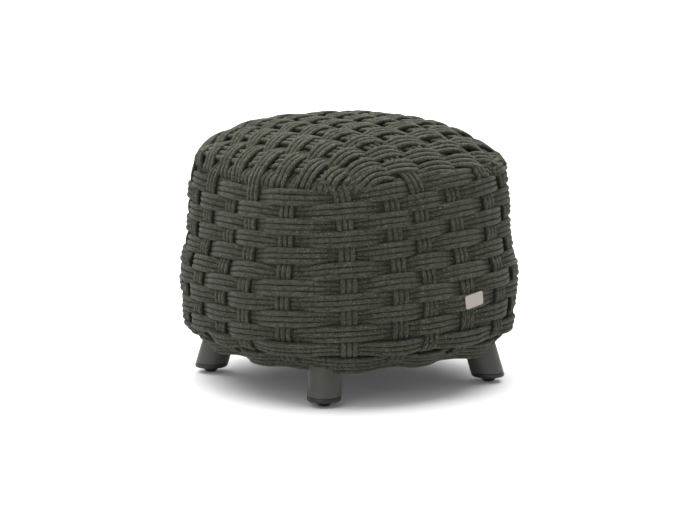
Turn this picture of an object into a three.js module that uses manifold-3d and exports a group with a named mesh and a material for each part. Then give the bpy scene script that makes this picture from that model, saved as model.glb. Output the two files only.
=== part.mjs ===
// Outdoor footstool: a rope-woven, crowned body on an inner tube frame, with four splayed legs.
// Millimetres, +Z up. The origin is on the floor, under the middle of the stool.
// -Y is the front wall, -X the left wall, and the legs stand under the four corners.
import * as THREE from "three";
import { mergeVertices } from "three/addons/utils/BufferGeometryUtils.js";
import Module from "manifold-3d";

const wasm = await Module();
wasm.setup();

// Envelope of the woven body: heights, half widths from the axis, and how square the plan is
const FLOOR_GAP = 62;
const WALL_HEIGHT = 284;
const CROWN_RISE = 64;
const HEM_HALF_WIDTH = 223;
const TUCK_HALF_WIDTH = 251;
const BELLY_HALF_WIDTH = 252;
const WAIST_HALF_WIDTH = 237;
const SHOULDER_HALF_WIDTH = 231;
const RIM_HALF_WIDTH = 221;
const WALL_HEIGHT_SHARES = [0, 0.12, 0.35, 0.6, 0.82, 1];
const WALL_HALF_WIDTHS = [
  HEM_HALF_WIDTH,
  TUCK_HALF_WIDTH,
  BELLY_HALF_WIDTH,
  WAIST_HALF_WIDTH,
  SHOULDER_HALF_WIDTH,
  RIM_HALF_WIDTH,
];
const HEM_SQUARE_POWER = 2.2;
const RIM_SQUARE_POWER = 2.9;
const CROWN_MIDDLE_POWER = 2;
const CROWN_CURVE_POWER = 3.8;
const RIM_HEIGHT = FLOOR_GAP + WALL_HEIGHT;

// Weave: courses of rope run round the wall, and upright bundles cross them in front and behind
const WEAVE_WALL = 16;
const COURSE_COUNT = 12;
const COURSE_PITCH = 23;
const COURSE_LEAN = 14;
const LEAN_HEADING_DEGREES = -50;
const HEM_LEAN_SHARE = 0.35;
const LEAN_GAIN_SHARE = 0.125;
const UPRIGHT_HALF_WIDTH = 13;
const UPRIGHT_INSET = 2.5;
const DIVE_INSET = 3;
const GROOVE_INSET = 3.5;
const SIDE_COUNT = 4;
const FRONT_UPRIGHT_SHARES = [0.1, 0.3, 0.433, 0.611, 0.806, 0.96];
const PLAIN_UPRIGHT_SHARES = [0.12, 0.28, 0.43, 0.58, 0.73, 0.89];
const LEFT_UPRIGHT_SHARES = [0.07, 0.22, 0.361, 0.533, 0.678, 0.87];
const UPRIGHT_SHARES_BY_SIDE = [
  FRONT_UPRIGHT_SHARES,
  PLAIN_UPRIGHT_SHARES,
  PLAIN_UPRIGHT_SHARES,
  LEFT_UPRIGHT_SHARES,
];
const STATION_COUNT = 3;

// Top weave: long bundles run along X, cross bundles run along Y and drift towards the front wall
const LONG_BUNDLE_PITCH = 24.6;
const LONG_BUNDLE_SIDE_COUNT = 11;
const CROSS_BUNDLE_SHARES = [-1.13, -0.9, -0.69, -0.45, -0.19, 0.12, 0.355, 0.59, 0.83, 1.08];
const CROSS_DRIFT = 64;
const CROSS_DRIFT_POWER = 1.6;
const CROSS_BUNDLE_INSET = 7;
const BUNDLE_FLANK_INSET = 4;
const TOP_SLAB_DEPTH = 50;

// Inner frame: three ring tubes, bent ribs between them and arches under the crown
const RING_TUBE_RADIUS = 8;
const RIB_TUBE_RADIUS = 6;
const ARCH_TUBE_RADIUS = 7;
const TOP_RING_DROP = 34;
const ARCH_CURVE_POWER = 2.4;
const RIB_COUNT = 8;
const RIB_SLACK = 1.2;
const SEAT_GAP = 0.3;
const BELLY_RING_HEIGHT_SHARE = 0.5;

// Leg plates and bolts
const PLATE_RADIUS = 38;
const PLATE_THICKNESS = 5;
const BOLT_RADIUS = 3;
const BOLT_CLEARANCE = 0.3;
const BOLT_HEAD_RADIUS = 5.8;
const BOLT_HEAD_HEIGHT = 4;
const BOLT_HALF_SPACING = 10;
const BOLT_SET_IN = 14;
const BOLT_RING_GAP = 3;
const BOLT_TAIL = 3;

// Legs, caps and glides, measured in the upright plane through a leg and the body's axis
const LEG_SET_IN = 23.9;
const LEG_RADIUS = 26;
const LEG_WALL = 2.5;
const LEG_END_PLATE = 6;
const LEG_LEAN_SHARE = 0.296;
const CAP_RIM_HEIGHT = 4;
const CAP_ROUND_HEIGHT = 3;
const CAP_ROUND_WIDTH = 5;
const CAP_PLUG_HEIGHT = 12;
const GLIDE_HEIGHT = 8;
const GLIDE_RADIUS = 11.5;
const GLIDE_FLAT_RADIUS = 4.5;
const GLIDE_STEM_RADIUS = 4;
const GLIDE_STEM_LENGTH = 26;
const STEM_CLEARANCE = 0.08;
const CORNER_NAMES = ["front", "right", "rear", "left"];
const FRONT_CORNER_DEGREES = -135;

// Sewn label on the front wall
const LABEL_WIDTH = 37;
const LABEL_HEIGHT = 21;
const LABEL_THICKNESS = 1.2;
const LABEL_HEADING_DEGREES = -77.3;
const LABEL_COURSE_COUNT = 9;
const LABEL_RISE = 5;

// Facets
const ROUND_FACETS = 24;
const SMALL_FACETS = 12;
const TUBE_FACETS = 6;
const BEND_STEPS = 10;
const DOME_RINGS = 6;
const SOLVE_STEPS = 12;
const CURVE_STEPS = 96;
const CUT_OVERRUN = 5;

// Unit shapes: where the wall's two faces and a ring's tube lie before they are mapped
const UNIT_OUTER_FACE = 2;
const UNIT_INNER_FACE = 1;
const UNIT_RING_RADIUS = 2;

const radians = THREE.MathUtils.degToRad;

// Materials
const ropeMaterial = new THREE.MeshStandardMaterial({ color: 0x4c5046, roughness: 0.95, metalness: 0 });
const frameMaterial = new THREE.MeshStandardMaterial({ color: 0x565a50, roughness: 0.6, metalness: 0.3 });
const legMaterial = new THREE.MeshStandardMaterial({ color: 0x50534a, roughness: 0.55, metalness: 0.2 });
const steelMaterial = new THREE.MeshStandardMaterial({ color: 0x9a9c9e, roughness: 0.4, metalness: 1 });
const capMaterial = new THREE.MeshStandardMaterial({ color: 0x1b1b1c, roughness: 0.5, metalness: 0 });
const glideMaterial = new THREE.MeshStandardMaterial({ color: 0x141415, roughness: 0.4, metalness: 0 });
const labelMaterial = new THREE.MeshStandardMaterial({ color: 0xcfc3b0, roughness: 0.8, metalness: 0 });

// Solids
function solidFrom(geometry) {
  const bare = geometry.clone();
  bare.deleteAttribute("normal");
  bare.deleteAttribute("uv");
  const merged = mergeVertices(bare);
  return new wasm.Manifold(
    new wasm.Mesh({
      numProp: 3,
      vertProperties: merged.attributes.position.array,
      triVerts: new Uint32Array(merged.index.array),
    }),
  );
}

function geometryFrom(solid) {
  const mesh = solid.getMesh();
  const geometry = new THREE.BufferGeometry();
  geometry.setAttribute("position", new THREE.BufferAttribute(mesh.vertProperties, 3));
  geometry.setIndex(new THREE.BufferAttribute(mesh.triVerts, 1));
  return geometry;
}

function namedMesh(name, geometry, material) {
  const mesh = new THREE.Mesh(geometry, material);
  mesh.name = name;
  return mesh;
}

// Moves every vertex of a unit geometry to the place that the function gives for it
function mapped(geometry, place) {
  const positions = geometry.attributes.position;
  const vertex = new THREE.Vector3();
  for (let i = 0; i < positions.count; i++) {
    vertex.fromBufferAttribute(positions, i);
    const moved = place(vertex);
    positions.setXYZ(i, moved.x, moved.y, moved.z);
  }
  return geometry;
}

// Smooth curve through stations that never swings past them
function smoothThrough(stations, values, at) {
  const last = stations.length - 1;
  const clamped = Math.min(Math.max(at, stations[0]), stations[last]);
  let i = 0;
  while (i < last - 1 && clamped > stations[i + 1]) i++;
  const slope = (k) => (values[k + 1] - values[k]) / (stations[k + 1] - stations[k]);
  const tangent = (k) => {
    if (k === 0) return slope(0);
    if (k === last) return slope(last - 1);
    const before = slope(k - 1);
    const after = slope(k);
    return before * after > 0 ? (2 * before * after) / (before + after) : 0;
  };
  const span = stations[i + 1] - stations[i];
  const t = (clamped - stations[i]) / span;
  const rise = t * t * (3 - 2 * t);
  const startPull = t * (1 - t) * (1 - t) * span;
  const endPull = t * t * (t - 1) * span;
  return values[i] * (1 - rise) + values[i + 1] * rise + tangent(i) * startPull + tangent(i + 1) * endPull;
}

// Half width of the envelope at a height: the wall's curve, then the crown's
function halfWidthAt(z) {
  if (z > RIM_HEIGHT) {
    const left = Math.max(0, 1 - (z - RIM_HEIGHT) / CROWN_RISE);
    return RIM_HALF_WIDTH * Math.pow(left, 1 / CROWN_CURVE_POWER);
  }
  return smoothThrough(WALL_HEIGHT_SHARES, WALL_HALF_WIDTHS, (z - FLOOR_GAP) / WALL_HEIGHT);
}

function squarePowerAt(z) {
  const share = Math.min(1, Math.max(0, (z - FLOOR_GAP) / WALL_HEIGHT));
  return HEM_SQUARE_POWER + (RIM_SQUARE_POWER - HEM_SQUARE_POWER) * share;
}

// Point of a rounded square of the given half width and squareness, in one direction from its middle
function squarePoint(angle, halfWidth, power) {
  const c = Math.cos(angle);
  const s = Math.sin(angle);
  const reach = halfWidth * Math.pow(Math.abs(c) ** power + Math.abs(s) ** power, -1 / power);
  return new THREE.Vector2(reach * c, reach * s);
}

// The hand-woven courses climb a little towards one corner: a tilted plane over the whole body
function leanAt(x, y) {
  const heading = radians(LEAN_HEADING_DEGREES);
  return (COURSE_LEAN * (x * Math.cos(heading) + y * Math.sin(heading))) / BELLY_HALF_WIDTH;
}

// Point on the envelope, moved in by the inset, on the level that the lean gives
function wallPoint(angle, level, leanShare, inset) {
  let z = level;
  let flat = new THREE.Vector2();
  for (let i = 0; i < SOLVE_STEPS; i++) {
    flat = squarePoint(angle, halfWidthAt(z) - inset, squarePowerAt(z));
    z = level + leanShare * leanAt(flat.x, flat.y);
  }
  return new THREE.Vector3(flat.x, flat.y, z);
}

// Direction of a corner, counted with shares round the body from the front one
function cornerAngle(count) {
  return radians(FRONT_CORNER_DEGREES) + (count * 2 * Math.PI) / SIDE_COUNT;
}

// Levels of the half courses from the hem: even steps along the wall's curve, so the courses lie closer
// in height where the wall turns in
const halfCourseCount = COURSE_COUNT * 2;
const weaveTop = FLOOR_GAP + COURSE_COUNT * COURSE_PITCH;
const curveHeights = Array.from(
  { length: CURVE_STEPS + 1 },
  (_, k) => FLOOR_GAP + ((weaveTop - FLOOR_GAP) * k) / CURVE_STEPS,
);
const curveLengths = [0];
for (let k = 1; k <= CURVE_STEPS; k++) {
  const out = halfWidthAt(curveHeights[k]) - halfWidthAt(curveHeights[k - 1]);
  curveLengths.push(curveLengths[k - 1] + Math.hypot(out, curveHeights[k] - curveHeights[k - 1]));
}
const courseLevels = Array.from({ length: halfCourseCount + 1 }, (_, j) =>
  smoothThrough(curveLengths, curveHeights, (curveLengths[CURVE_STEPS] * j) / halfCourseCount),
);

// The hem is nearly level, and the courses above it take up the lean step by step
function leanShareAt(halfCourse) {
  if (halfCourse === 0) return 0;
  return Math.min(1, HEM_LEAN_SHARE + LEAN_GAIN_SHARE * (halfCourse - 1));
}

// Directions of the upright bundles, round the body from the front corner
const uprightAngles = UPRIGHT_SHARES_BY_SIDE.flatMap((shares, side) =>
  shares.map((share) => cornerAngle(side + share)),
);
const uprightCount = uprightAngles.length;

// Three directions for each upright: both its edges, and the middle of the gap to the next one
const stationAngles = uprightAngles.flatMap((angle, i) => {
  const halfTurn = UPRIGHT_HALF_WIDTH / BELLY_HALF_WIDTH;
  const next = i + 1 < uprightCount ? uprightAngles[i + 1] : uprightAngles[0] + 2 * Math.PI;
  return [angle - halfTurn, angle + halfTurn, (angle + next) / 2];
});
const stationCount = stationAngles.length;

// How far the woven surface lies inside the envelope, at a station and a half course from the hem
function weaveInset(station, halfCourse) {
  const isCourseMiddle = halfCourse % 2 === 1;
  if (!isCourseMiddle) return GROOVE_INSET;
  if (station % STATION_COUNT === STATION_COUNT - 1) return DIVE_INSET;
  const upright = Math.floor(station / STATION_COUNT);
  const courseFromTop = COURSE_COUNT - (halfCourse - 1) / 2;
  const uprightInFront = (upright + courseFromTop) % 2 === 1;
  return uprightInFront ? UPRIGHT_INSET : 0;
}

// Inner face of the wall: level rows at these courses from the hem
const INNER_ROW_COUNTS = [0, 1, 2, 4, 6, 8, 10, 11];
const innerRowHeights = INNER_ROW_COUNTS.map((course) => FLOOR_GAP + course * COURSE_PITCH);

function innerHalfWidthAt(z) {
  const last = innerRowHeights.length - 1;
  let i = 0;
  while (i < last - 1 && z > innerRowHeights[i + 1]) i++;
  const low = innerRowHeights[i];
  const high = innerRowHeights[i + 1];
  const share = (z - low) / (high - low);
  return halfWidthAt(low) * (1 - share) + halfWidthAt(high) * share - WEAVE_WALL;
}

// Half width at which a ring tube of this radius seats against the inner face of the wall
function seatedHalfWidth(height, tubeRadius) {
  let seat = Infinity;
  for (let k = 0; k <= SMALL_FACETS; k++) {
    const angle = Math.PI * (k / SMALL_FACETS - 1 / 2);
    const wall = innerHalfWidthAt(height + tubeRadius * Math.sin(angle));
    seat = Math.min(seat, wall - tubeRadius * Math.cos(angle));
  }
  return seat - SEAT_GAP;
}

// The woven wall: a shell whose outer face holds the courses and the uprights in relief
function sideWeave() {
  const outer = [];
  for (let j = 0; j <= halfCourseCount; j++) outer.push(new THREE.Vector2(UNIT_OUTER_FACE, j));
  const inner = [new THREE.Vector2(UNIT_INNER_FACE, halfCourseCount)];
  for (const course of INNER_ROW_COUNTS.toReversed()) inner.push(new THREE.Vector2(UNIT_INNER_FACE, course * 2));
  const profile = [...outer, ...inner, outer[0]];
  const shell = new THREE.LatheGeometry(profile, stationCount);
  return mapped(shell, (unit) => {
    const turn = (Math.atan2(unit.x, unit.z) + 2 * Math.PI) / (2 * Math.PI);
    const station = Math.round(turn * stationCount) % stationCount;
    const angle = stationAngles[station];
    const halfCourse = Math.round(unit.y);
    const level = courseLevels[halfCourse];
    const isOuter = Math.hypot(unit.x, unit.z) > (UNIT_OUTER_FACE + UNIT_INNER_FACE) / 2;
    if (isOuter) return wallPoint(angle, level, leanShareAt(halfCourse), weaveInset(station, halfCourse));
    if (halfCourse === halfCourseCount) return wallPoint(angle, level, 1, WEAVE_WALL);
    return wallPoint(angle, FLOOR_GAP + (halfCourse * COURSE_PITCH) / 2, 0, WEAVE_WALL);
  });
}

// Height of the crown's envelope over a point of the plan
function crownHeightAt(x, y) {
  let share = 1 / 2;
  for (let i = 0; i < SOLVE_STEPS * 2; i++) {
    const power = RIM_SQUARE_POWER + (CROWN_MIDDLE_POWER - RIM_SQUARE_POWER) * (1 - Math.min(1, share));
    const sum = Math.abs(x / RIM_HALF_WIDTH) ** power + Math.abs(y / RIM_HALF_WIDTH) ** power;
    share = Math.pow(sum, 1 / power);
  }
  return RIM_HEIGHT + CROWN_RISE * (1 - Math.pow(share, CROWN_CURVE_POWER));
}

// Place of the long bundles along Y: even steps round a quarter circle crowd towards the rim
function longBundleY(index) {
  return RIM_HALF_WIDTH * Math.sin((index * LONG_BUNDLE_PITCH) / RIM_HALF_WIDTH);
}

// Place of the cross bundles along X, at a distance along Y
function crossBundleX(index, y) {
  const low = Math.floor(index);
  const high = Math.min(low + 1, CROSS_BUNDLE_SHARES.length - 1);
  const between = index - low;
  const share = CROSS_BUNDLE_SHARES[low] * (1 - between) + CROSS_BUNDLE_SHARES[high] * between;
  const drift = y < 0 ? CROSS_DRIFT * Math.pow(-y / RIM_HALF_WIDTH, CROSS_DRIFT_POWER) : 0;
  return RIM_HALF_WIDTH * share + drift;
}

function crownInset(crossHalf, longHalf) {
  const onCross = crossHalf % 2 === 0;
  const onLong = longHalf % 2 === 0;
  if (!onCross || !onLong) return BUNDLE_FLANK_INSET;
  const crossIndex = crossHalf / 2 - 1;
  const longIndex = longHalf / 2 - LONG_BUNDLE_SIDE_COUNT;
  const longInFront = (crossIndex + longIndex) % 2 === 0;
  return longInFront ? 0 : CROSS_BUNDLE_INSET;
}

// Everything under the leaning plane on which the top weave starts
function underLeanPlane() {
  const side = BELLY_HALF_WIDTH * SIDE_COUNT;
  const block = new THREE.BoxGeometry(1, 1, 1);
  const seat = FLOOR_GAP + COURSE_COUNT * COURSE_PITCH + SEAT_GAP;
  mapped(block, (unit) => {
    const x = unit.x * side;
    const y = unit.y * side;
    return new THREE.Vector3(x, y, unit.z > 0 ? seat + leanAt(x, y) : 0);
  });
  return solidFrom(block);
}

// The hollow under the crown, coarse, one wall thickness inside the envelope
function crownHollow() {
  const profile = [new THREE.Vector2(0, -1), new THREE.Vector2(1, -1)];
  for (let k = 0; k < DOME_RINGS; k++) profile.push(new THREE.Vector2(1 - k / DOME_RINGS, k));
  profile.push(new THREE.Vector2(0, DOME_RINGS));
  const dome = new THREE.LatheGeometry(profile, stationCount / 2);
  mapped(dome, (unit) => {
    const share = Math.hypot(unit.x, unit.z);
    const angle = Math.atan2(unit.x, unit.z);
    const power = RIM_SQUARE_POWER + (CROWN_MIDDLE_POWER - RIM_SQUARE_POWER) * (1 - share);
    const flat = squarePoint(angle, (RIM_HALF_WIDTH - WEAVE_WALL) * share, power);
    const rise = CROWN_RISE * (1 - Math.pow(share, CROWN_CURVE_POWER));
    const z = unit.y < 0 ? FLOOR_GAP : RIM_HEIGHT - WEAVE_WALL + rise;
    return new THREE.Vector3(flat.x, flat.y, z);
  });
  return solidFrom(dome);
}

// The woven top: a crowned shell with the crossing bundles in relief, trimmed to the rim
function topWeave() {
  const crossHalves = (CROSS_BUNDLE_SHARES.length - 1) * 2;
  const longHalves = LONG_BUNDLE_SIDE_COUNT * 4;
  const slabBottom = RIM_HEIGHT - TOP_SLAB_DEPTH;
  const slab = new THREE.BoxGeometry(1, 1, 1, crossHalves, longHalves, 1);
  mapped(slab, (unit) => {
    const crossHalf = Math.round((unit.x + 1 / 2) * crossHalves);
    const longHalf = Math.round((unit.y + 1 / 2) * longHalves);
    const edge = Math.abs(longHalf / 2 - LONG_BUNDLE_SIDE_COUNT) === LONG_BUNDLE_SIDE_COUNT;
    const placed = longBundleY(longHalf / 2 - LONG_BUNDLE_SIDE_COUNT);
    const y = edge ? Math.sign(placed) * (RIM_HALF_WIDTH + WEAVE_WALL) : placed;
    const x = crossBundleX(crossHalf / 2, y);
    if (unit.z < 0) return new THREE.Vector3(x, y, slabBottom);
    const inset = crownInset(crossHalf, longHalf);
    return new THREE.Vector3(x, y, Math.max(crownHeightAt(x, y) - inset, slabBottom + WEAVE_WALL));
  });
  const outline = new THREE.Shape();
  for (let i = 0; i < stationCount; i++) {
    const corner = squarePoint(stationAngles[i], RIM_HALF_WIDTH, RIM_SQUARE_POWER);
    if (i === 0) outline.moveTo(corner.x, corner.y);
    else outline.lineTo(corner.x, corner.y);
  }
  outline.closePath();
  const rimSettings = { depth: TOP_SLAB_DEPTH + CROWN_RISE + CUT_OVERRUN, bevelEnabled: false };
  const rim = new THREE.ExtrudeGeometry(outline, rimSettings).translate(0, 0, slabBottom - CUT_OVERRUN);
  const trimmed = solidFrom(slab).intersect(solidFrom(rim));
  return geometryFrom(trimmed.subtract(underLeanPlane()).subtract(crownHollow()));
}

// Ring tubes: their corners share directions with the wall's, so that they lie clear of it
const ringAngles = stationAngles.filter((angle, station) => station % STATION_COUNT !== 0);

function ringTube(halfWidth, height, tubeRadius) {
  const unitRing = new THREE.TorusGeometry(UNIT_RING_RADIUS, 1, TUBE_FACETS, ringAngles.length);
  return mapped(unitRing, (unit) => {
    const turn = (Math.atan2(unit.y, unit.x) + 2 * Math.PI) / (2 * Math.PI);
    const angle = ringAngles[Math.round(turn * ringAngles.length) % ringAngles.length];
    const out = Math.hypot(unit.x, unit.y) - UNIT_RING_RADIUS;
    const middle = squarePoint(angle, halfWidth, squarePowerAt(height));
    const x = middle.x + Math.cos(angle) * out * tubeRadius;
    const y = middle.y + Math.sin(angle) * out * tubeRadius;
    return new THREE.Vector3(x, y, height + unit.z * tubeRadius);
  });
}

const plateBottom = FLOOR_GAP;
const plateTop = plateBottom + PLATE_THICKNESS;
const bottomRingHeight = plateTop + SEAT_GAP + RING_TUBE_RADIUS * Math.cos(Math.PI / TUBE_FACETS);
const topRingHeight = RIM_HEIGHT - TOP_RING_DROP;
const bellyRingHeight = FLOOR_GAP + BELLY_RING_HEIGHT_SHARE * COURSE_COUNT * COURSE_PITCH;
const topRingHalfWidth = seatedHalfWidth(topRingHeight, RING_TUBE_RADIUS);
const plateEdgeHalfWidth = innerHalfWidthAt(plateBottom) - RING_TUBE_RADIUS / 2 - SEAT_GAP;
const bottomRingHalfWidth = Math.min(plateEdgeHalfWidth, seatedHalfWidth(bottomRingHeight, RING_TUBE_RADIUS));

function ribHalfWidthAt(z) {
  return innerHalfWidthAt(z) - RIB_TUBE_RADIUS - SEAT_GAP - RIB_SLACK;
}

const bellyRingHalfWidth =
  ribHalfWidthAt(bellyRingHeight) - RIB_TUBE_RADIUS - SEAT_GAP - RING_TUBE_RADIUS;

function tubeAlong(points, radius, steps) {
  const section = new THREE.Shape().absarc(0, 0, radius, 0, 2 * Math.PI);
  const path = new THREE.CatmullRomCurve3(points, false, "centripetal");
  const settings = { steps, extrudePath: path, curveSegments: TUBE_FACETS };
  return new THREE.ExtrudeGeometry(section, settings);
}

// A rib follows the inner face of the wall and meets both end rings in a coped joint
function rib(index) {
  const upright = Math.round((index * uprightCount) / RIB_COUNT) + 1;
  const angle = stationAngles[(upright + 1) * STATION_COUNT - 1];
  const at = (halfWidth, z) => {
    const flat = squarePoint(angle, halfWidth, squarePowerAt(z));
    return new THREE.Vector3(flat.x, flat.y, z);
  };
  const points = [at(bottomRingHalfWidth, bottomRingHeight)];
  const highest = topRingHeight - RING_TUBE_RADIUS - RIB_TUBE_RADIUS;
  for (let z = FLOOR_GAP + 2 * COURSE_PITCH; z < highest; z += COURSE_PITCH) {
    points.push(at(ribHalfWidthAt(z), z));
  }
  points.push(at(topRingHalfWidth, topRingHeight));
  const cutRadius = RING_TUBE_RADIUS + SEAT_GAP;
  return geometryFrom(
    solidFrom(tubeAlong(points, RIB_TUBE_RADIUS, BEND_STEPS))
      .subtract(solidFrom(ringTube(bottomRingHalfWidth, bottomRingHeight, cutRadius)))
      .subtract(solidFrom(ringTube(topRingHalfWidth, topRingHeight, cutRadius))),
  );
}

// The arches rise from the top ring to just under the crown
const archTopHeight = RIM_HEIGHT + CROWN_RISE - WEAVE_WALL - SEAT_GAP - ARCH_TUBE_RADIUS;

const archHalfWidth = Math.min(topRingHalfWidth, RIM_HALF_WIDTH - WEAVE_WALL - ARCH_TUBE_RADIUS - SEAT_GAP);

function archPoint(share) {
  const rise = (archTopHeight - topRingHeight) * (1 - Math.pow(Math.abs(share), ARCH_CURVE_POWER));
  return new THREE.Vector3(share * archHalfWidth, 0, topRingHeight + rise);
}

function archTube(radius, startShare, endShare) {
  const ringPoint = (share) => new THREE.Vector3(share * topRingHalfWidth, 0, topRingHeight);
  const points = [];
  if (startShare !== 0) points.push(ringPoint(startShare));
  for (let k = 0; k <= BEND_STEPS; k++) {
    points.push(archPoint(startShare + ((endShare - startShare) * k) / BEND_STEPS));
  }
  if (endShare !== 0) points.push(ringPoint(endShare));
  return tubeAlong(points, radius, BEND_STEPS * 2);
}

function topRingCut() {
  return solidFrom(ringTube(topRingHalfWidth, topRingHeight, RING_TUBE_RADIUS + SEAT_GAP));
}

function longArch() {
  return geometryFrom(solidFrom(archTube(ARCH_TUBE_RADIUS, -1, 1)).subtract(topRingCut()));
}

function halfArch(side) {
  const half = archTube(ARCH_TUBE_RADIUS, 1, 0).rotateZ((side * Math.PI) / 2);
  const longArchCut = solidFrom(archTube(ARCH_TUBE_RADIUS + SEAT_GAP, -1, 1));
  return geometryFrom(solidFrom(half).subtract(topRingCut()).subtract(longArchCut));
}

// Upright cylinder between two heights
function pillar(radius, low, high, facets) {
  return new THREE.CylinderGeometry(radius, radius, high - low, facets)
    .rotateX(Math.PI / 2)
    .translate(0, 0, (low + high) / 2);
}

// Leans a leg piece inwards as it rises, keeping level cuts level
const capBottom = GLIDE_HEIGHT + SEAT_GAP;
function leaned(geometry) {
  return mapped(geometry, (p) => new THREE.Vector3(p.x - LEG_LEAN_SHARE * (p.z - capBottom), p.y, p.z));
}

const capTop = capBottom + CAP_ROUND_HEIGHT + CAP_RIM_HEIGHT;
const legBottom = capTop + SEAT_GAP;
const legTop = FLOOR_GAP - SEAT_GAP;
const legTopOut = -LEG_LEAN_SHARE * (legTop - capBottom);
const boltOut = legTopOut - BOLT_SET_IN;
const rearAngle = cornerAngle(CORNER_NAMES.indexOf("rear"));
const hemCorner = squarePoint(rearAngle, HEM_HALF_WIDTH, HEM_SQUARE_POWER);
const ringCorner = squarePoint(rearAngle, bottomRingHalfWidth, squarePowerAt(bottomRingHeight));
const boltLimit = ringCorner.length() - RING_TUBE_RADIUS - BOLT_RING_GAP - BOLT_HEAD_RADIUS;
const legTopSpread = Math.min(hemCorner.length() - LEG_SET_IN, boltLimit + BOLT_SET_IN);
const footSpread = legTopSpread - legTopOut;

function boltHoles(low, high) {
  const hole = (side) =>
    solidFrom(
      pillar(BOLT_RADIUS + BOLT_CLEARANCE, low, high, SMALL_FACETS).translate(
        boltOut,
        side * BOLT_HALF_SPACING,
        0,
      ),
    );
  return hole(-1).add(hole(1));
}

function leg() {
  const outer = leaned(pillar(LEG_RADIUS, legBottom, legTop, ROUND_FACETS));
  const boreTop = legTop - LEG_END_PLATE;
  const bore = leaned(pillar(LEG_RADIUS - LEG_WALL, legBottom - CUT_OVERRUN, boreTop, ROUND_FACETS));
  const holes = boltHoles(boreTop - CUT_OVERRUN, legTop + CUT_OVERRUN);
  return geometryFrom(solidFrom(outer).subtract(solidFrom(bore)).subtract(holes));
}

function legCap() {
  const plugRadius = LEG_RADIUS - LEG_WALL - SEAT_GAP;
  const profile = [new THREE.Vector2(0, capBottom)];
  const roundSteps = TUBE_FACETS / 2;
  for (let k = 0; k <= roundSteps; k++) {
    const angle = (Math.PI / 2) * (k / roundSteps);
    const r = LEG_RADIUS - CAP_ROUND_WIDTH * (1 - Math.sin(angle));
    profile.push(new THREE.Vector2(r, capBottom + CAP_ROUND_HEIGHT * (1 - Math.cos(angle))));
  }
  profile.push(new THREE.Vector2(LEG_RADIUS, capTop));
  profile.push(new THREE.Vector2(plugRadius, capTop));
  profile.push(new THREE.Vector2(plugRadius, capTop + CAP_PLUG_HEIGHT));
  profile.push(new THREE.Vector2(0, capTop + CAP_PLUG_HEIGHT));
  const body = leaned(new THREE.LatheGeometry(profile, ROUND_FACETS).rotateX(Math.PI / 2));
  const boreLow = capBottom - CUT_OVERRUN;
  const boreHigh = capTop + CAP_PLUG_HEIGHT + CUT_OVERRUN;
  const bore = pillar(GLIDE_STEM_RADIUS + STEM_CLEARANCE, boreLow, boreHigh, SMALL_FACETS);
  return geometryFrom(solidFrom(body).subtract(solidFrom(bore)));
}

function glide() {
  const profile = [new THREE.Vector2(0, 0)];
  const domeSteps = TUBE_FACETS - 1;
  for (let k = 0; k <= domeSteps; k++) {
    const angle = (Math.PI / 2) * (k / domeSteps);
    const r = GLIDE_FLAT_RADIUS + (GLIDE_RADIUS - GLIDE_FLAT_RADIUS) * Math.sin(angle);
    profile.push(new THREE.Vector2(r, GLIDE_HEIGHT * (1 - Math.cos(angle))));
  }
  profile.push(new THREE.Vector2(GLIDE_STEM_RADIUS, GLIDE_HEIGHT));
  profile.push(new THREE.Vector2(GLIDE_STEM_RADIUS, GLIDE_HEIGHT + GLIDE_STEM_LENGTH));
  profile.push(new THREE.Vector2(0, GLIDE_HEIGHT + GLIDE_STEM_LENGTH));
  return new THREE.LatheGeometry(profile, SMALL_FACETS).rotateX(Math.PI / 2);
}

// A leg plate lies on the leg's top and reaches out under the bottom ring
function legPlate() {
  const wall = squarePoint(rearAngle, innerHalfWidthAt(plateBottom), HEM_SQUARE_POWER);
  const plateEdge = Math.min(wall.length() - SEAT_GAP, ringCorner.length() + RING_TUBE_RADIUS / 2);
  const plateOut = plateEdge - PLATE_RADIUS - footSpread;
  const disc = pillar(PLATE_RADIUS, plateBottom, plateTop, ROUND_FACETS).translate(plateOut, 0, 0);
  const holes = boltHoles(plateBottom - CUT_OVERRUN, plateTop + CUT_OVERRUN);
  return geometryFrom(solidFrom(disc).subtract(holes));
}

function legBolt() {
  const headBottom = plateTop + SEAT_GAP;
  const head = pillar(BOLT_HEAD_RADIUS, headBottom, headBottom + BOLT_HEAD_HEIGHT, TUBE_FACETS);
  const shankBottom = legTop - LEG_END_PLATE - BOLT_TAIL;
  const shankTop = headBottom + BOLT_HEAD_HEIGHT / 2;
  const shank = pillar(BOLT_RADIUS, shankBottom, shankTop, SMALL_FACETS);
  return geometryFrom(solidFrom(head).add(solidFrom(shank)));
}

// The label lies flat on the crest of a course
function placeLabel(label) {
  const angle = radians(LABEL_HEADING_DEGREES);
  const level = courseLevels[halfCourseCount + 1 - LABEL_COURSE_COUNT * 2] + LABEL_RISE;
  const turn = LABEL_WIDTH / 2 / BELLY_HALF_WIDTH;
  const middle = wallPoint(angle, level, 1, 0);
  const right = wallPoint(angle + turn, level, 1, 0);
  const left = wallPoint(angle - turn, level, 1, 0);
  const above = wallPoint(angle, level + LABEL_HEIGHT / 2, 1, 0);
  const below = wallPoint(angle, level - LABEL_HEIGHT / 2, 1, 0);
  const along = right.sub(left).normalize();
  const out = along.clone().cross(above.sub(below).normalize()).normalize();
  const up = out.clone().cross(along);
  label.quaternion.setFromRotationMatrix(new THREE.Matrix4().makeBasis(along, up, out));
  label.position.copy(middle).addScaledVector(out, SEAT_GAP + LABEL_THICKNESS / 2);
}

// Assembly
const stool = new THREE.Group();
stool.add(namedMesh("side_weave", sideWeave(), ropeMaterial));
stool.add(namedMesh("top_weave", topWeave(), ropeMaterial));

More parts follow.
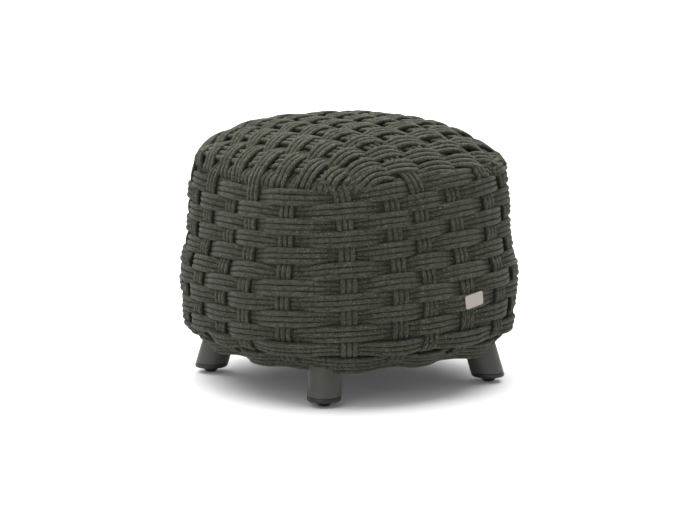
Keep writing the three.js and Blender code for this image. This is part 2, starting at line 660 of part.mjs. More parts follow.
const topRing = ringTube(topRingHalfWidth, topRingHeight, RING_TUBE_RADIUS);
const bellyRing = ringTube(bellyRingHalfWidth, bellyRingHeight, RING_TUBE_RADIUS);
const bottomRing = ringTube(bottomRingHalfWidth, bottomRingHeight, RING_TUBE_RADIUS);
stool.add(namedMesh("top_ring", topRing, frameMaterial));
stool.add(namedMesh("belly_ring", bellyRing, frameMaterial));
stool.add(namedMesh("bottom_ring", bottomRing, frameMaterial));

for (let i = 0; i < RIB_COUNT; i++) stool.add(namedMesh("rib_" + (i + 1), rib(i), frameMaterial));

stool.add(namedMesh("long_arch", longArch(), frameMaterial));
stool.add(namedMesh("front_half_arch", halfArch(-1), frameMaterial));
stool.add(namedMesh("rear_half_arch", halfArch(1), frameMaterial));

for (const [count, corner] of CORNER_NAMES.entries()) {
  const foot = new THREE.Group();
  const angle = cornerAngle(count);
  foot.rotation.z = angle;
  foot.position.set(footSpread * Math.cos(angle), footSpread * Math.sin(angle), 0);
  foot.add(namedMesh("leg_plate_" + corner, legPlate(), frameMaterial));
  foot.add(namedMesh("leg_" + corner, leg(), legMaterial));
  foot.add(namedMesh("leg_cap_" + corner, legCap(), capMaterial));
  foot.add(namedMesh("glide_" + corner, glide(), glideMaterial));
  for (const [hand, side] of [["a", -1], ["b", 1]]) {
    const bolt = namedMesh("leg_bolt_" + corner + "_" + hand, legBolt(), steelMaterial);
    bolt.position.set(boltOut, side * BOLT_HALF_SPACING, 0);
    foot.add(bolt);
  }
  stool.add(foot);
}

const label = namedMesh(
  "label",
  new THREE.BoxGeometry(LABEL_WIDTH, LABEL_HEIGHT, LABEL_THICKNESS),
  labelMaterial,
);
placeLabel(label);
stool.add(label);

export default stool;
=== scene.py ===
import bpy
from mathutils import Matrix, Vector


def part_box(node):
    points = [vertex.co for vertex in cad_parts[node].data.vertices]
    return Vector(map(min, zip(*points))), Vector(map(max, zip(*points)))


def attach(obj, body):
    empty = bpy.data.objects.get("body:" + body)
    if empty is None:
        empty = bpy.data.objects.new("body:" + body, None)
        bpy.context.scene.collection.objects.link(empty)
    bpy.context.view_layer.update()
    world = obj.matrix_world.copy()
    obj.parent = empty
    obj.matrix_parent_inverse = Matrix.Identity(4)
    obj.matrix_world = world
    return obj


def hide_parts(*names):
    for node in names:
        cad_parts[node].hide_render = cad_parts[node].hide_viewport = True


bl_info = {
    "name": "Rope-woven outdoor footstool",
    "version": (1, 0, 0),
    "blender": (4, 5, 0),
    "location": "3D View > Sidebar > Footstool",
    "description": "Weaves the rope cover, finishes frame, legs and feet, and sets the stage",
    "category": "Add Mesh",
}

import math

import bpy
import numpy as np
from bpy.props import FloatProperty, FloatVectorProperty, IntProperty, PointerProperty
from mathutils import Vector

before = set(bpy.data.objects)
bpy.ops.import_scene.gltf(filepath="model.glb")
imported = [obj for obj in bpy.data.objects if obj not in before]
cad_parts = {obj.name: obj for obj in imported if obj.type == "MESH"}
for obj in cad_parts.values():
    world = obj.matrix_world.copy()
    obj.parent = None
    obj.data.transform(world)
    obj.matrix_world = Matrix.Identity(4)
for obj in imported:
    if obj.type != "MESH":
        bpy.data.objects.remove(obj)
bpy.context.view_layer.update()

# Curves of the woven body, in metres
RIM_HALF_WIDTH = 0.221
BELLY_HALF_WIDTH = 0.252
WALL_HEIGHT_SHARES = np.array([0, 0.12, 0.35, 0.6, 0.82, 1])
WALL_HALF_WIDTHS = np.array([0.223, 0.251, BELLY_HALF_WIDTH, 0.237, 0.231, RIM_HALF_WIDTH])
FLOOR_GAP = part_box("side_weave")[0][2]
CROWN_RISE = 0.064
RIM_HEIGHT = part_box("top_weave")[1][2] - CROWN_RISE
WALL_HEIGHT = RIM_HEIGHT - FLOOR_GAP
HEM_SQUARE_POWER = 2.2
RIM_SQUARE_POWER = 2.9
HEM_BULGE = 0.25
HEM_BULGE_POWER = 20
CROWN_MIDDLE_POWER = 2.0
CROWN_CURVE_POWER = 3.8
QUARTER_TURN = math.pi / 2
FRONT_HEADING = math.radians(-135)
RIGHT_HEADING = math.radians(-45)

# Courses of the wall, and how they lean, rise and droop
COURSE_COUNT = 12
COURSE_PITCH = 0.023
ROPES_PER_COURSE = 3
ROPES_PER_HEM_COURSE = 4
COURSE_LEAN = 0.014
LEAN_HEADING = math.radians(-50)
HEM_LEAN_SHARE = 0.35
LEAN_GAIN_SHARE = 0.25
ROW_RISE = 0.0033
HEM_RISES_AND_LEANS = {11: (0.0010, 0.4), 12: (-0.0044, -0.05)}
FRONT_DROP = 0.009
DROP_COURSE = 5
RIM_DROP = 0.007
RIM_DROP_POWER = 3
SIDE_RISE = 0.006
SIDE_RISE_POWER = 4
RIM_RISE = 0.003
CROWN_TILT = 0.007
CROWN_TILT_POWER = 12

# Uprights: places as shares of each side from its left corner, and the twist of the front ones
FRONT_UPRIGHT_SHARES = [0.1, 0.3, 0.433, 0.611, 0.806, 0.96]
PLAIN_UPRIGHT_SHARES = [0.12, 0.28, 0.43, 0.58, 0.73, 0.89]
LEFT_UPRIGHT_SHARES = [0.065, 0.212, 0.352, 0.524, 0.668, 0.857]
SIDES = [FRONT_UPRIGHT_SHARES, PLAIN_UPRIGHT_SHARES, PLAIN_UPRIGHT_SHARES, LEFT_UPRIGHT_SHARES]
UPRIGHTS_PER_SIDE = len(FRONT_UPRIGHT_SHARES)
UPRIGHT_ANGLES = np.array([
    FRONT_HEADING + (side + share) * QUARTER_TURN
    for side, shares in enumerate(SIDES) for share in shares
])
TWIST_HEIGHT_SHARES = (0, 0.5, 0.75, 0.9, 1)
FRONT_TWISTS = np.radians([1.0, 0.9, -0.3, -1.2, -2.8])

# Bundles of the top
ROPES_PER_BUNDLE = 3
LONG_PITCH = 0.0246
LONG_EACH_SIDE = 11
CROSS_SHARES = [-0.9, -0.69, -0.45, -0.19, 0.12, 0.355, 0.59, 0.83]
BUNDLES = {"long": range(-LONG_EACH_SIDE, LONG_EACH_SIDE + 1), "cross": range(len(CROSS_SHARES))}
CROSS_DRIFT = 0.064
CROSS_DRIFT_POWER = 1.6
LONG_DRIFT = 0.018
LONG_DRIFT_START = 0.09
LONG_DRIFT_LENGTH = 0.12
JOIN_LENGTH = 0.09

# How deep the middle of a rope lies under the surface, where it passes in front and behind
COURSE_FRONT = 0.0041
COURSE_BEHIND = 0.0145
COURSE_FLATNESS = 0.7
UPRIGHT_FRONT = 0.0066
UPRIGHT_BEHIND = 0.0128

# Distance between the ropes of a bundle, and how far a course sags where it lies behind
COURSE_SPREAD_SHARES = (0, 0.5, 0.85, 1)
COURSE_SPREAD = (0.0084, 0.0083, 0.0079, 0.0068)
UPRIGHT_SPREAD = 0.0085
DIVE_SPREAD = 0.0097
COURSE_SAG = 0.17
LEAN_SAG = 0.35
HEM_SAG = 0.1

# Top bundles: depths in front and behind, flatness of the crests, and spreads in front and behind
BUNDLE_FORMS = {"long": (0.0012, 0.0142, 0.3, 0.0090, 0.0062), "cross": (0.0048, 0.0104, 1.0, 0.0094, 0.0094)}

# Plain ropes behind the weave, which close its holes
LINING_DEPTH = 0.015
LINING_GIRTH = 1.2
LINING_LEAN_SAG = 0.8
RIM_LINING_SHARES = (0.99, 0.955, 0.915, 0.875)
TOP_LINING_DEPTH = 0.0132
TOP_LINING_PLACES = (-0.008, 0.0, 0.008)

# Ends of the bundles: a dive behind the first course, or a turn under the hem
DIVE_LENGTH = 0.022
DIVE_STARTS = [0.0, 0.013, 0.044]
DIVE_DEPTHS = [0.0075, 0.0165, 0.0165]
LEAST_END_STEPS = 4
ROPE_HEM_RISE = 0.003
HEM_RUN = (0.0, 0.010, 0.020, 0.028, 0.031)
HEM_RISE = (0.0, -0.0015, -0.001, 0.003, 0.010)
HEM_STEPS = 12
CORNER_HEM_STEPS = 4
CORNER_CLEAR = math.radians(15)
HEM_DOWN_PULL = 1.5

# Hand-made unevenness
WANDER = 0.0004
OWN_WANDER_SHARE = 0.5
WANDER_WAVELENGTH = 0.11
SEED_STEP = 100

# Sampling of paths and surfaces
PATH_STEP = 0.004
FINE_PATH_SHARE = 8
ROPE_SIDES = 10
TURN_STEPS = 96
ROUND_STEPS = 6
DOME_STEPS = 12
SOLVE_STEPS = 12
NORMAL_PROBE = 0.0005
POINT_REACH = 4
NORMAL_REACH = 5
TINY = 1e-12

# Look of the rope: scales of its noise, shares of its tones, and ranges as lowest and highest
BRAID_PITCH = 0.0034
BRAID_STRANDS = 8
SPECK_SCALES = {"Slow scale": 9.0, "Fine scale": 900.0}
STREAK_SCALES = {"Slow scale": 170.0, "Fine scale": 620.0}
YARN_SHARE = 0.55
STREAK_SHARE = 0.45
STREAK_RANGE = (-0.5, 1.5)
FLECK_COLOUR = (0.30, 0.31, 0.25, 1)
FLECK_STRENGTH = 0.7
# Painted shade: the rope's colour is darkened in the grooves between its yarns
PAINTED_GROOVE_SHADE_TONES = (0.55, 1.0)
PATCH_TONES = (0.85, 1.15)
ROPE_ROUGHNESS = (0.85, 1.0)
ROPE_SURFACE = {"Specular IOR Level": 0.18, "Sheen Weight": 0.16, "Sheen Roughness": 0.3}
FUZZ_SHARE = 0.5
BRAID_BUMP = 0.0004

# Smooth steps in the look of the rope: where each starts and ends, and its tones there
FLECK_STEP = (0.57, 0.70, 0, 1)
# Painted shade: the rope's inner side, facing into the weave, is darker
PAINTED_FURROW_SHADE_STEP = (0.18, 0.5, 1.0, 0.45)
# Painted light: the rope above the rim is paler, as if lit more strongly from above
PAINTED_TOP_LIGHT_STEP = (RIM_HEIGHT - 0.02, RIM_HEIGHT + 0.02, 1.0, 1.28)

# Look of coat, plastic, steel and cloth
COAT_SLOW_SCALE = 14.0
COAT_FINE_SCALE = 1400.0
COAT_BUMP = 0.00006
COAT_TONE_SWING = 0.14
COAT_ROUGHNESS_SWING = 0.08
CLOTH_FINE_SCALE = 700.0
CLOTH_BUMP = 0.00015
BOLT_COLOUR = (0.55, 0.55, 0.56)

# Legs, caps and glides
FOOT_HEADINGS = {"front": -135, "right": -45, "rear": 45, "left": 135}
FOOT_SPREAD = 0.222
LEG_RADIUS = 0.026
LEG_LEAN_SHARE = 0.296
LEG_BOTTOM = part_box("leg_front")[0][2]
LEG_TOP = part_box("leg_front")[1][2]
CAP_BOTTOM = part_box("leg_cap_front")[0][2]
CAP_ROUND = 0.003
CAP_SEAM = 0.0003
EDGE_ROUND = 0.0008
GLIDE_RADIUS = 0.0115
GLIDE_HEIGHT = 0.008
GLIDE_FLAT = 0.0045
STEM_RADIUS = 0.004
STEM_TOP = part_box("glide_front")[1][2]
THREAD_PITCH = 0.00125
THREAD_DEPTH = 0.0002

# Label, and the rings of its pillow from back to face as shares of outline and half thickness
LABEL_WIDTH = 0.037
LABEL_HEIGHT = 0.021
LABEL_THICKNESS = 0.0012
LABEL_HEADING = math.radians(-77.3)
LABEL_COURSE = 9
LABEL_RISE = 0.005
LABEL_TILT = math.radians(7)
LABEL_LIFT = 0.0004
LABEL_CORNER_POWER = 9
LABEL_RINGS = ((0.5, -1), (0.94, -1), (0.985, -0.7), (1, 0), (0.985, 0.7), (0.94, 1), (0.5, 1))

# Camera, floor and lights
CAMERA = {"lens": 151.25, "sensor_width": 36.0, "shift_x": 0.0021, "shift_y": -0.0209, "clip_end": 100}
AIM_HEIGHT = 0.205
WHITE = (1, 1, 1, 1)
FLOOR_TONES = ((0.74, 0.74, 0.74, 1), (0.76, 0.76, 0.76, 1))
FLOOR_NOISE_SCALE = 2.0
# The floor's emission is a painted glow that lightens the stool's shadow on it
FLOOR_SURFACE = {
    "Roughness": 0.9, "Specular IOR Level": 0.1, "Emission Color": WHITE, "Emission Strength": 0.05,
}
WORLD_STRENGTH = 0.47
KEY_LIGHT = ("key", (-2.0, -0.6, 2.2), math.radians(60), 0.75)
TOP_LIGHT = ("top", (0.5, 1.0, 2.6), math.radians(92), 6.3)


class StoolSettings(bpy.types.PropertyGroup):
    """Sizes and colours of the rope cover and the legs"""
    rope_diameter: FloatProperty(
        name="Rope diameter", description="Thickness of one braided rope",
        default=0.0086, min=0.004, max=0.012, subtype="DISTANCE", unit="LENGTH")
    rope_dark: FloatVectorProperty(
        name="Rope dark yarn", description="Colour of the darker yarns",
        default=(0.0112, 0.0126, 0.0083), subtype="COLOR", min=0, max=1)
    rope_light: FloatVectorProperty(
        name="Rope light yarn", description="Colour of the lighter yarns",
        default=(0.083, 0.088, 0.061), subtype="COLOR", min=0, max=1)
    leg_colour: FloatVectorProperty(
        name="Leg colour", description="Powder coat of legs and frame",
        default=(0.048, 0.0495, 0.040), subtype="COLOR", min=0, max=1)
    cap_colour: FloatVectorProperty(
        name="Cap colour", description="Moulded caps and glides",
        default=(0.010, 0.010, 0.011), subtype="COLOR", min=0, max=1)
    label_colour: FloatVectorProperty(
        name="Label colour", description="Bare sewn label",
        default=(0.345, 0.308, 0.28), subtype="COLOR", min=0, max=1)
    unevenness_seed: IntProperty(
        name="Unevenness seed", description="Seed of the hand-made wander of the ropes", default=7, min=0)


class StageSettings(bpy.types.PropertyGroup):
    """Camera, floor and light"""
    view_azimuth: FloatProperty(
        name="View azimuth", description="Heading of the view, from +Y towards +X",
        default=math.radians(35.376), subtype="ANGLE", unit="ROTATION")
    view_elevation: FloatProperty(
        name="View elevation", description="Height of the view above the horizon",
        default=math.radians(9.403), subtype="ANGLE", unit="ROTATION")
    view_distance: FloatProperty(
        name="View distance", description="Distance from the aim point",
        default=4.611, subtype="DISTANCE", unit="LENGTH")
    floor_size: FloatProperty(
        name="Floor size", description="Side of the floor", default=60.0, subtype="DISTANCE", unit="LENGTH")


# Arithmetic of curves and paths
def unit(vectors):
    return vectors / np.maximum(np.linalg.norm(vectors, axis=-1, keepdims=True), TINY)


def smoothstep(t):
    t = np.clip(t, 0, 1)
    return t * t * (3 - 2 * t)


def between(at, knots):
    """For each value the number of the knot before it, and the share of the way to the next knot."""
    at = np.clip(at, knots[0], knots[-1])
    i = np.clip(np.searchsorted(knots, at, side="right") - 1, 0, len(knots) - 2)
    return i, (at - knots[i]) / np.maximum(knots[i + 1] - knots[i], TINY)


def smooth_through(stations, values, at):
    """Cubic whose slope at each station is the harmonic mean of its neighbours' slopes, or nought where
    they differ in sign, so it never swings past a station."""
    steps = np.diff(stations)
    slopes = np.diff(values) / steps
    product = slopes[:-1] * slopes[1:]
    safe_sum = np.where(product > 0, slopes[:-1] + slopes[1:], 1)
    inner = np.where(product > 0, 2 * product / safe_sum, 0)
    tangents = np.concatenate([slopes[:1], inner, slopes[-1:]])
    i, t = between(at, stations)
    rise = smoothstep(t)
    start_pull = t * (1 - t) ** 2 * steps[i]
    end_pull = t * t * (t - 1) * steps[i]
    level = values[i] * (1 - rise) + values[i + 1] * rise
    return level + tangents[i] * start_pull + tangents[i + 1] * end_pull


def eased(at, knots, values, flatness):
    """Value between knots along a cosine, whose crests are flattened by a sine of it."""
    values = np.asarray(values, float)
    i, t = between(at, np.asarray(knots, float))
    wave = np.cos(math.pi * t)
    swing = flatness * np.sin(QUARTER_TURN * wave) + (1 - flatness) * wave
    share = (1 - swing) / 2
    return values[i] * (1 - share) + values[i + 1] * share


def softened(rows, reach):
    """Mean of each row with its neighbours on both sides, with cosine weights. Past each end the rows
    go on as their own mirror image through the end row."""
    weights = 1 + np.cos(np.linspace(-math.pi, math.pi, 2 * reach + 3)[1:-1])
    before = 2 * rows[0] - rows[reach:0:-1]
    after = 2 * rows[-1] - rows[-2:-reach - 2:-1]
    padded = np.concatenate([before, rows, after])
    return stacked(*[np.convolve(column, weights / weights.sum(), "valid") for column in padded.T])


def stacked(*columns):
    return np.stack(columns, axis=-1)


def distances(points):
    """How far each point of a path is from the first one, along the path."""
    return np.concatenate([[0], np.cumsum(np.linalg.norm(np.diff(points, axis=0), axis=1))])


def directions(points, closed):
    """Direction of a path at each point, from the points on both sides of it."""
    if closed:
        return unit(np.roll(points, -1, axis=0) - np.roll(points, 1, axis=0))
    return unit(np.gradient(points, axis=0))


def square_point(angle, half_width, power):
    """Rounded square: |x|^power + |y|^power = half width ^ power, in the direction of the angle."""
    c, s = np.cos(angle), np.sin(angle)
    reach = half_width * (np.abs(c) ** power + np.abs(s) ** power) ** (-1 / power)
    return reach * c, reach * s


def square_share(x, y, power=RIM_SQUARE_POWER):
    """Rounded-square distance from the middle, as a share of the rim's half width."""
    total = np.abs(x / RIM_HALF_WIDTH) ** power + np.abs(y / RIM_HALF_WIDTH) ** power
    return total ** (1 / power)


def towards(heading, x, y):
    """How far a point lies towards a heading, as a share of the belly's half width."""
    return (x * math.cos(heading) + y * math.sin(heading)) / BELLY_HALF_WIDTH


def normal_at(surface, a, b):
    """Cross product of a surface's two directions, by small steps."""
    across = surface(a + NORMAL_PROBE, b) - surface(a - NORMAL_PROBE, b)
    up = surface(a, b + NORMAL_PROBE) - surface(a, b - NORMAL_PROBE)
    return unit(np.cross(across, up))


# Surface of the wall
def half_width_at(z):
    """Half width of the plan at a height: the wall's curve, and above the rim the crown's."""
    z = np.asarray(z, float)
    wall = smooth_through(WALL_HEIGHT_SHARES, WALL_HALF_WIDTHS, (z - FLOOR_GAP) / WALL_HEIGHT)
    left = np.clip(1 - (z - RIM_HEIGHT) / CROWN_RISE, 0, 1)
    return np.where(z > RIM_HEIGHT, RIM_HALF_WIDTH * left ** (1 / CROWN_CURVE_POWER), wall)


def square_power_at(z):
    """Power of the plan at a height: from the hem's to the rim's, plus a bulge close to the hem."""
    share = np.clip((np.asarray(z, float) - FLOOR_GAP) / WALL_HEIGHT, 0, 1)
    even = HEM_SQUARE_POWER + (RIM_SQUARE_POWER - HEM_SQUARE_POWER) * share
    return even + HEM_BULGE * (1 - share) ** HEM_BULGE_POWER


def wall_at(angle, z):
    """Points of the wall at a height."""
    x, y = square_point(angle, half_width_at(z), square_power_at(z))
    return stacked(x, y, z + 0 * x)


def overhang(normals):
    """How steeply a wall faces down: the slope of its normals, or nought where they face up."""
    return np.maximum(0, -normals[:, 2] / np.linalg.norm(normals[:, :2], axis=1))


def leaned_height(angle, level, lean_share, drop_share=0.0):
    """Height of a level on the wall, found by repeating: height = level + lean - drop at the point of
    that height. The drop grows towards the front corner and shrinks to the left and right corners."""
    z = level + 0 * angle
    for _ in range(SOLVE_STEPS):
        x, y = wall_at(angle, z).T[:2]
        rise = SIDE_RISE * towards(RIGHT_HEADING, x, y) ** SIDE_RISE_POWER
        drop = FRONT_DROP * towards(FRONT_HEADING, x, y) - rise
        z = level + lean_share * COURSE_LEAN * towards(LEAN_HEADING, x, y) - drop_share * drop
    return z


# Surface of the crown
def rim_drop(x, y):
    """How far the rim droops: in proportion towards the front corner and not at all behind, less a rise
    towards the left and right corners."""
    rise = RIM_RISE * towards(RIGHT_HEADING, x, y) ** SIDE_RISE_POWER
    return RIM_DROP * np.maximum(0, towards(FRONT_HEADING, x, y)) - rise


def crown_height(x, y):
    """Rim + rise * (1 - share ^ curve power), share being the rounded-square distance with a power that
    goes from the rim's to a circle's in the middle, less a tilt towards the right corner and the
    rim's droop, which fades inwards."""
    share = np.full(np.shape(x), 0.5)
    for _ in range(SOLVE_STEPS * 2):
        power = RIM_SQUARE_POWER + (CROWN_MIDDLE_POWER - RIM_SQUARE_POWER) * (1 - np.minimum(1, share))
        share = square_share(x, y, power)
    share = np.minimum(1, share)
    tilt = CROWN_TILT * towards(RIGHT_HEADING, x, y) * share ** 2 * (1 - share ** CROWN_TILT_POWER)
    crown = CROWN_RISE * (1 - share ** CROWN_CURVE_POWER)
    return RIM_HEIGHT + crown - tilt - rim_drop(x, y) * share ** RIM_DROP_POWER


def crown_at(x, y):
    return stacked(x, y, crown_height(x, y))


# Meshes
def ring_faces(rings, count, closed):
    """Rows and columns of the corners of the quads between rings of count points, the quads, and at
    open ends fans to two poles, whose points come after the last ring."""
    i, j = np.meshgrid(np.arange(rings if closed else rings - 1), np.arange(count), indexing="ij")
    row, column = stacked(i, i, i + 1, i + 1), stacked(j, j + 1, j + 1, j)
    quads = (row % rings * count + column % count).reshape(-1, 4)
    k = np.arange(0 if closed else count)
    next_k = (k + 1) % count
    last_ring = (rings - 1) * count
    pole = rings * count
    first_fan = stacked(pole + 0 * k, next_k, k)
    last_fan = stacked(pole + 1 + 0 * k, last_ring + k, last_ring + next_k)
    return row, column, quads, np.concatenate([first_fan, last_fan])


def mesh_object(name, parts, material):
    """Puts the arrays of several tubes or surfaces into one mesh, with its UV map."""
    starts = np.cumsum([0] + [len(part[0]) for part in parts])
    points = np.concatenate([part[0] for part in parts])
    quads = np.concatenate([part[1] + start for part, start in zip(parts, starts)])
    triangles = np.concatenate([part[2] + start for part, start in zip(parts, starts)])
    uv = np.concatenate([part[3] for part in parts] + [np.zeros((3 * len(triangles), 2))])
    loops = np.concatenate([quads.ravel(), triangles.ravel()]).astype(np.int32)
    sizes = np.concatenate([np.full(len(quads), 4), np.full(len(triangles), 3)])
    mesh = bpy.data.meshes.new(name)
    mesh.vertices.add(len(points))
    mesh.vertices.foreach_set("co", points.astype(np.float32).ravel())
    mesh.loops.add(len(loops))
    mesh.loops.foreach_set("vertex_index", loops)
    mesh.polygons.add(len(sizes))
    mesh.polygons.foreach_set("loop_start", (np.cumsum(sizes) - sizes).astype(np.int32))
    mesh.polygons.foreach_set("use_smooth", np.ones(len(sizes), bool))
    layer = mesh.uv_layers.new(name="UVMap")
    layer.data.foreach_set("uv", uv.astype(np.float32).ravel())
    mesh.update(calc_edges=True)
    mesh.validate()
    mesh.materials.append(material)
    return add_object(name, mesh)


def add_object(name, data):
    placed = bpy.data.objects.new(name, data)
    bpy.context.scene.collection.objects.link(placed)
    return placed


def wander(random, count, closed):
    """Slow uneven drift along a path of count steps: a sum of three sines with random phases."""
    share = np.linspace(0, 1, count, endpoint=not closed)
    waves = max(1, round(count * PATH_STEP / WANDER_WAVELENGTH))
    total = np.zeros(count)
    for k in (1, 2, 3):
        turns = max(1, waves * k // 2) if closed else waves * k / 2
        total += np.sin(2 * math.pi * turns * share + random.uniform(0, 2 * math.pi)) / k
    return WANDER * total


def rope_tube(points, normals, depth, offset, radius, closed, random):
    """One rope: the surface path moved in by its depth and sideways by its offset in the bundle, and a
    circle carried along it: centre plus cosine times the sideways direction plus sine times the
    outward one. Ends are closed."""
    sideways = unit(np.cross(normals, directions(points, closed)))
    depth = depth + OWN_WANDER_SHARE * wander(random, len(points), closed)
    offset = offset + OWN_WANDER_SHARE * wander(random, len(points), closed)
    centres = points - normals * depth[:, None] + sideways * offset[:, None]
    tangents = directions(centres, closed)
    sideways = unit(np.cross(tangents, normals))[:, None]
    outward = np.cross(sideways, tangents[:, None])
    angles = np.linspace(0, 2 * math.pi, ROPE_SIDES, endpoint=False)[:, None] - QUARTER_TURN
    circles = centres[:, None] + radius * (np.cos(angles) * sideways + np.sin(angles) * outward)
    tips = [centres[0] - tangents[0] * radius / 2, centres[-1] + tangents[-1] * radius / 2]
    skin = circles.reshape(-1, 3)
    if not closed:
        skin = np.concatenate([skin, tips])
    along = distances(np.concatenate([centres, centres[:1]]) if closed else centres)
    along = along * max(1, round(along[-1] / BRAID_PITCH)) / along[-1]
    row, column, quads, fans = ring_faces(len(centres), ROPE_SIDES, closed)
    return skin, quads, fans, stacked(along[row], column / ROPE_SIDES).reshape(-1, 2)


# Courses round the wall
def course_levels():
    """Height of the middle of each course, counted from 1 at the top: even steps along the wall's
    curve from the hem to the top of the wall."""
    heights = np.linspace(FLOOR_GAP, FLOOR_GAP + COURSE_COUNT * COURSE_PITCH, TURN_STEPS + 1)
    lengths = distances(stacked(half_width_at(heights), heights))
    half_courses = np.linspace(lengths[-1], 0, 2 * COURSE_COUNT + 1)
    return dict(enumerate(np.interp(half_courses[1::2], lengths, heights), 1))


COURSE_LEVELS = course_levels()


def course_height(course, angle):
    """Height of a course's middle at an angle. The topmost courses droop step by step, and those at the
    hem have a rise and a lean of their own."""
    drop_share = smoothstep((DROP_COURSE - course) / (DROP_COURSE - 1))
    lean_share = min(1, HEM_LEAN_SHARE + LEAN_GAIN_SHARE * (COURSE_COUNT - course))
    rise, lean_share = HEM_RISES_AND_LEANS.get(course, (ROW_RISE, lean_share))
    return leaned_height(angle, COURSE_LEVELS[course] + rise, lean_share, drop_share)


def upright_angle(upright, z):
    """Direction of an upright at a height. Those of the front side twist with height."""
    twist = np.interp((z - FLOOR_GAP) / WALL_HEIGHT, TWIST_HEIGHT_SHARES, FRONT_TWISTS)
    return UPRIGHT_ANGLES[upright] + twist * (upright < UPRIGHTS_PER_SIDE)


def upright_in_front(upright, course):
    return (upright + course) % 2 == 1


def lining_parts(course, angle, radius, random):
    """Plain ropes behind the weave: one behind the joint of a course with the one above, and above the
    first course the rings under the rim."""
    radius = radius * LINING_GIRTH
    if course > 1:
        z = (course_height(course, angle) + course_height(course - 1, angle)) / 2
        normals = normal_at(wall_at, angle, z)
        way_back = LINING_DEPTH - (COURSE_FRONT + COURSE_BEHIND) / 2
        sag = way_back * (COURSE_SAG + LINING_LEAN_SAG * overhang(normals))
        return [rope_tube(wall_at(angle, z), normals, LINING_DEPTH, -sag, radius, True, random)]
    z = course_height(1, angle) + COURSE_PITCH / 2
    paths = [(wall_at(angle, z), normal_at(wall_at, angle, z))]
    for share in RIM_LINING_SHARES:
        x, y = square_point(angle, RIM_HALF_WIDTH * share, RIM_SQUARE_POWER)
        paths.append((crown_at(x, y), normal_at(crown_at, x, y)))
    return [rope_tube(points, normals, LINING_DEPTH, 0, radius, True, random) for points, normals in paths]


def course_parts(course, radius, seed):
    """Ropes of one course: round the wall at its height, in front of every second upright and behind
    the others, spread where they lie in front, after their lining."""
    count = int(2 * math.pi * BELLY_HALF_WIDTH / PATH_STEP)
    angle = np.linspace(0, 2 * math.pi, count, endpoint=False) + FRONT_HEADING
    uprights = range(len(UPRIGHT_ANGLES))
    crossings = [upright_angle(i, COURSE_LEVELS[course]) for i in uprights]
    knots = [crossing + turn * 2 * math.pi for turn in (-1, 0, 1) for crossing in crossings]
    behind = [upright_in_front(i, course) for i in uprights] * 3
    share = eased(angle, knots, behind, COURSE_FLATNESS)
    depth = COURSE_FRONT + (COURSE_BEHIND - COURSE_FRONT) * share
    spread = np.interp(share, COURSE_SPREAD_SHARES, COURSE_SPREAD)
    z = course_height(course, angle)
    points, normals = wall_at(angle, z), normal_at(wall_at, angle, z)
    sag = (depth - COURSE_FRONT) * (COURSE_SAG + LEAN_SAG * overhang(normals))
    rope_count = ROPES_PER_COURSE
    if course == COURSE_COUNT:
        rope_count = ROPES_PER_HEM_COURSE
        spread = COURSE_SPREAD[0]
        sag += (depth - COURSE_FRONT) * HEM_SAG
    random = np.random.default_rng(seed + course)
    drift = wander(random, count, True) - sag
    parts = lining_parts(course, angle, radius, random)
    for k in range(rope_count):
        offset = spread * ((ROPES_PER_COURSE - 1) / 2 - k) + drift
        parts.append(rope_tube(points, normals, depth, offset, radius, True, random))
    return parts


# Bundles that cross the top and run down the wall as uprights
def long_y(index):
    """Even steps round a quarter circle, so the bundles crowd towards the rim."""
    return RIM_HALF_WIDTH * math.sin(index * LONG_PITCH / RIM_HALF_WIDTH)


def long_drift(x):
    """How far the long bundles swing towards the front at their left ends."""
    return -LONG_DRIFT * smoothstep((-x - LONG_DRIFT_START) / LONG_DRIFT_LENGTH)


def cross_x(index, y):
    """Place of a cross bundle, which swings to the right in a power curve towards the front."""
    drift = CROSS_DRIFT * (np.maximum(0, -y) / RIM_HALF_WIDTH) ** CROSS_DRIFT_POWER
    return RIM_HALF_WIDTH * CROSS_SHARES[index] + drift


def natural_side(kind, index, run):
    """Sideways place of a top bundle at a distance along it."""
    return cross_x(index, run) if kind == "cross" else long_y(index) + long_drift(run)


def long_in_front(long_index, cross_index):
    return (long_index + cross_index) % 2 == 0


def rim_place(kind, upright):
    """Where an upright passes the rim, along and across the bundles of this kind."""
    x, y = square_point(upright_angle(upright, RIM_HEIGHT), RIM_HALF_WIDTH, RIM_SQUARE_POWER)
    return (y, x) if kind == "cross" else (x, y)


def joined_uprights():
    """Which upright each top bundle runs down as, at its low and its high end: the uprights of a side
    take in turn the nearest bundle that is still free."""
    joins = {("cross", "low"): {}, ("long", "high"): {}, ("cross", "high"): {}, ("long", "low"): {}}
    for side, ((kind, end), joined) in enumerate(joins.items()):
        run = RIM_HALF_WIDTH if end == "high" else -RIM_HALF_WIDTH
        for upright in range(side * UPRIGHTS_PER_SIDE, (side + 1) * UPRIGHTS_PER_SIDE):
            wanted = rim_place(kind, upright)[1]
            free = [index for index in BUNDLES[kind] if index not in joined]
            joined[min(free, key=lambda index: abs(natural_side(kind, index, run) - wanted))] = upright
    return joins


def end_shift(kind, index, joined):
    """How far a bundle's end moves sideways: a joined one to its upright, and one between two joined
    ones by their shifts in proportion."""
    shifts = {}
    for joined_index, upright in joined.items():
        run, side = rim_place(kind, upright)
        shifts[joined_index] = side - natural_side(kind, joined_index, run)
    indexes = sorted(shifts)
    return np.interp(index, indexes, [shifts[i] for i in indexes])


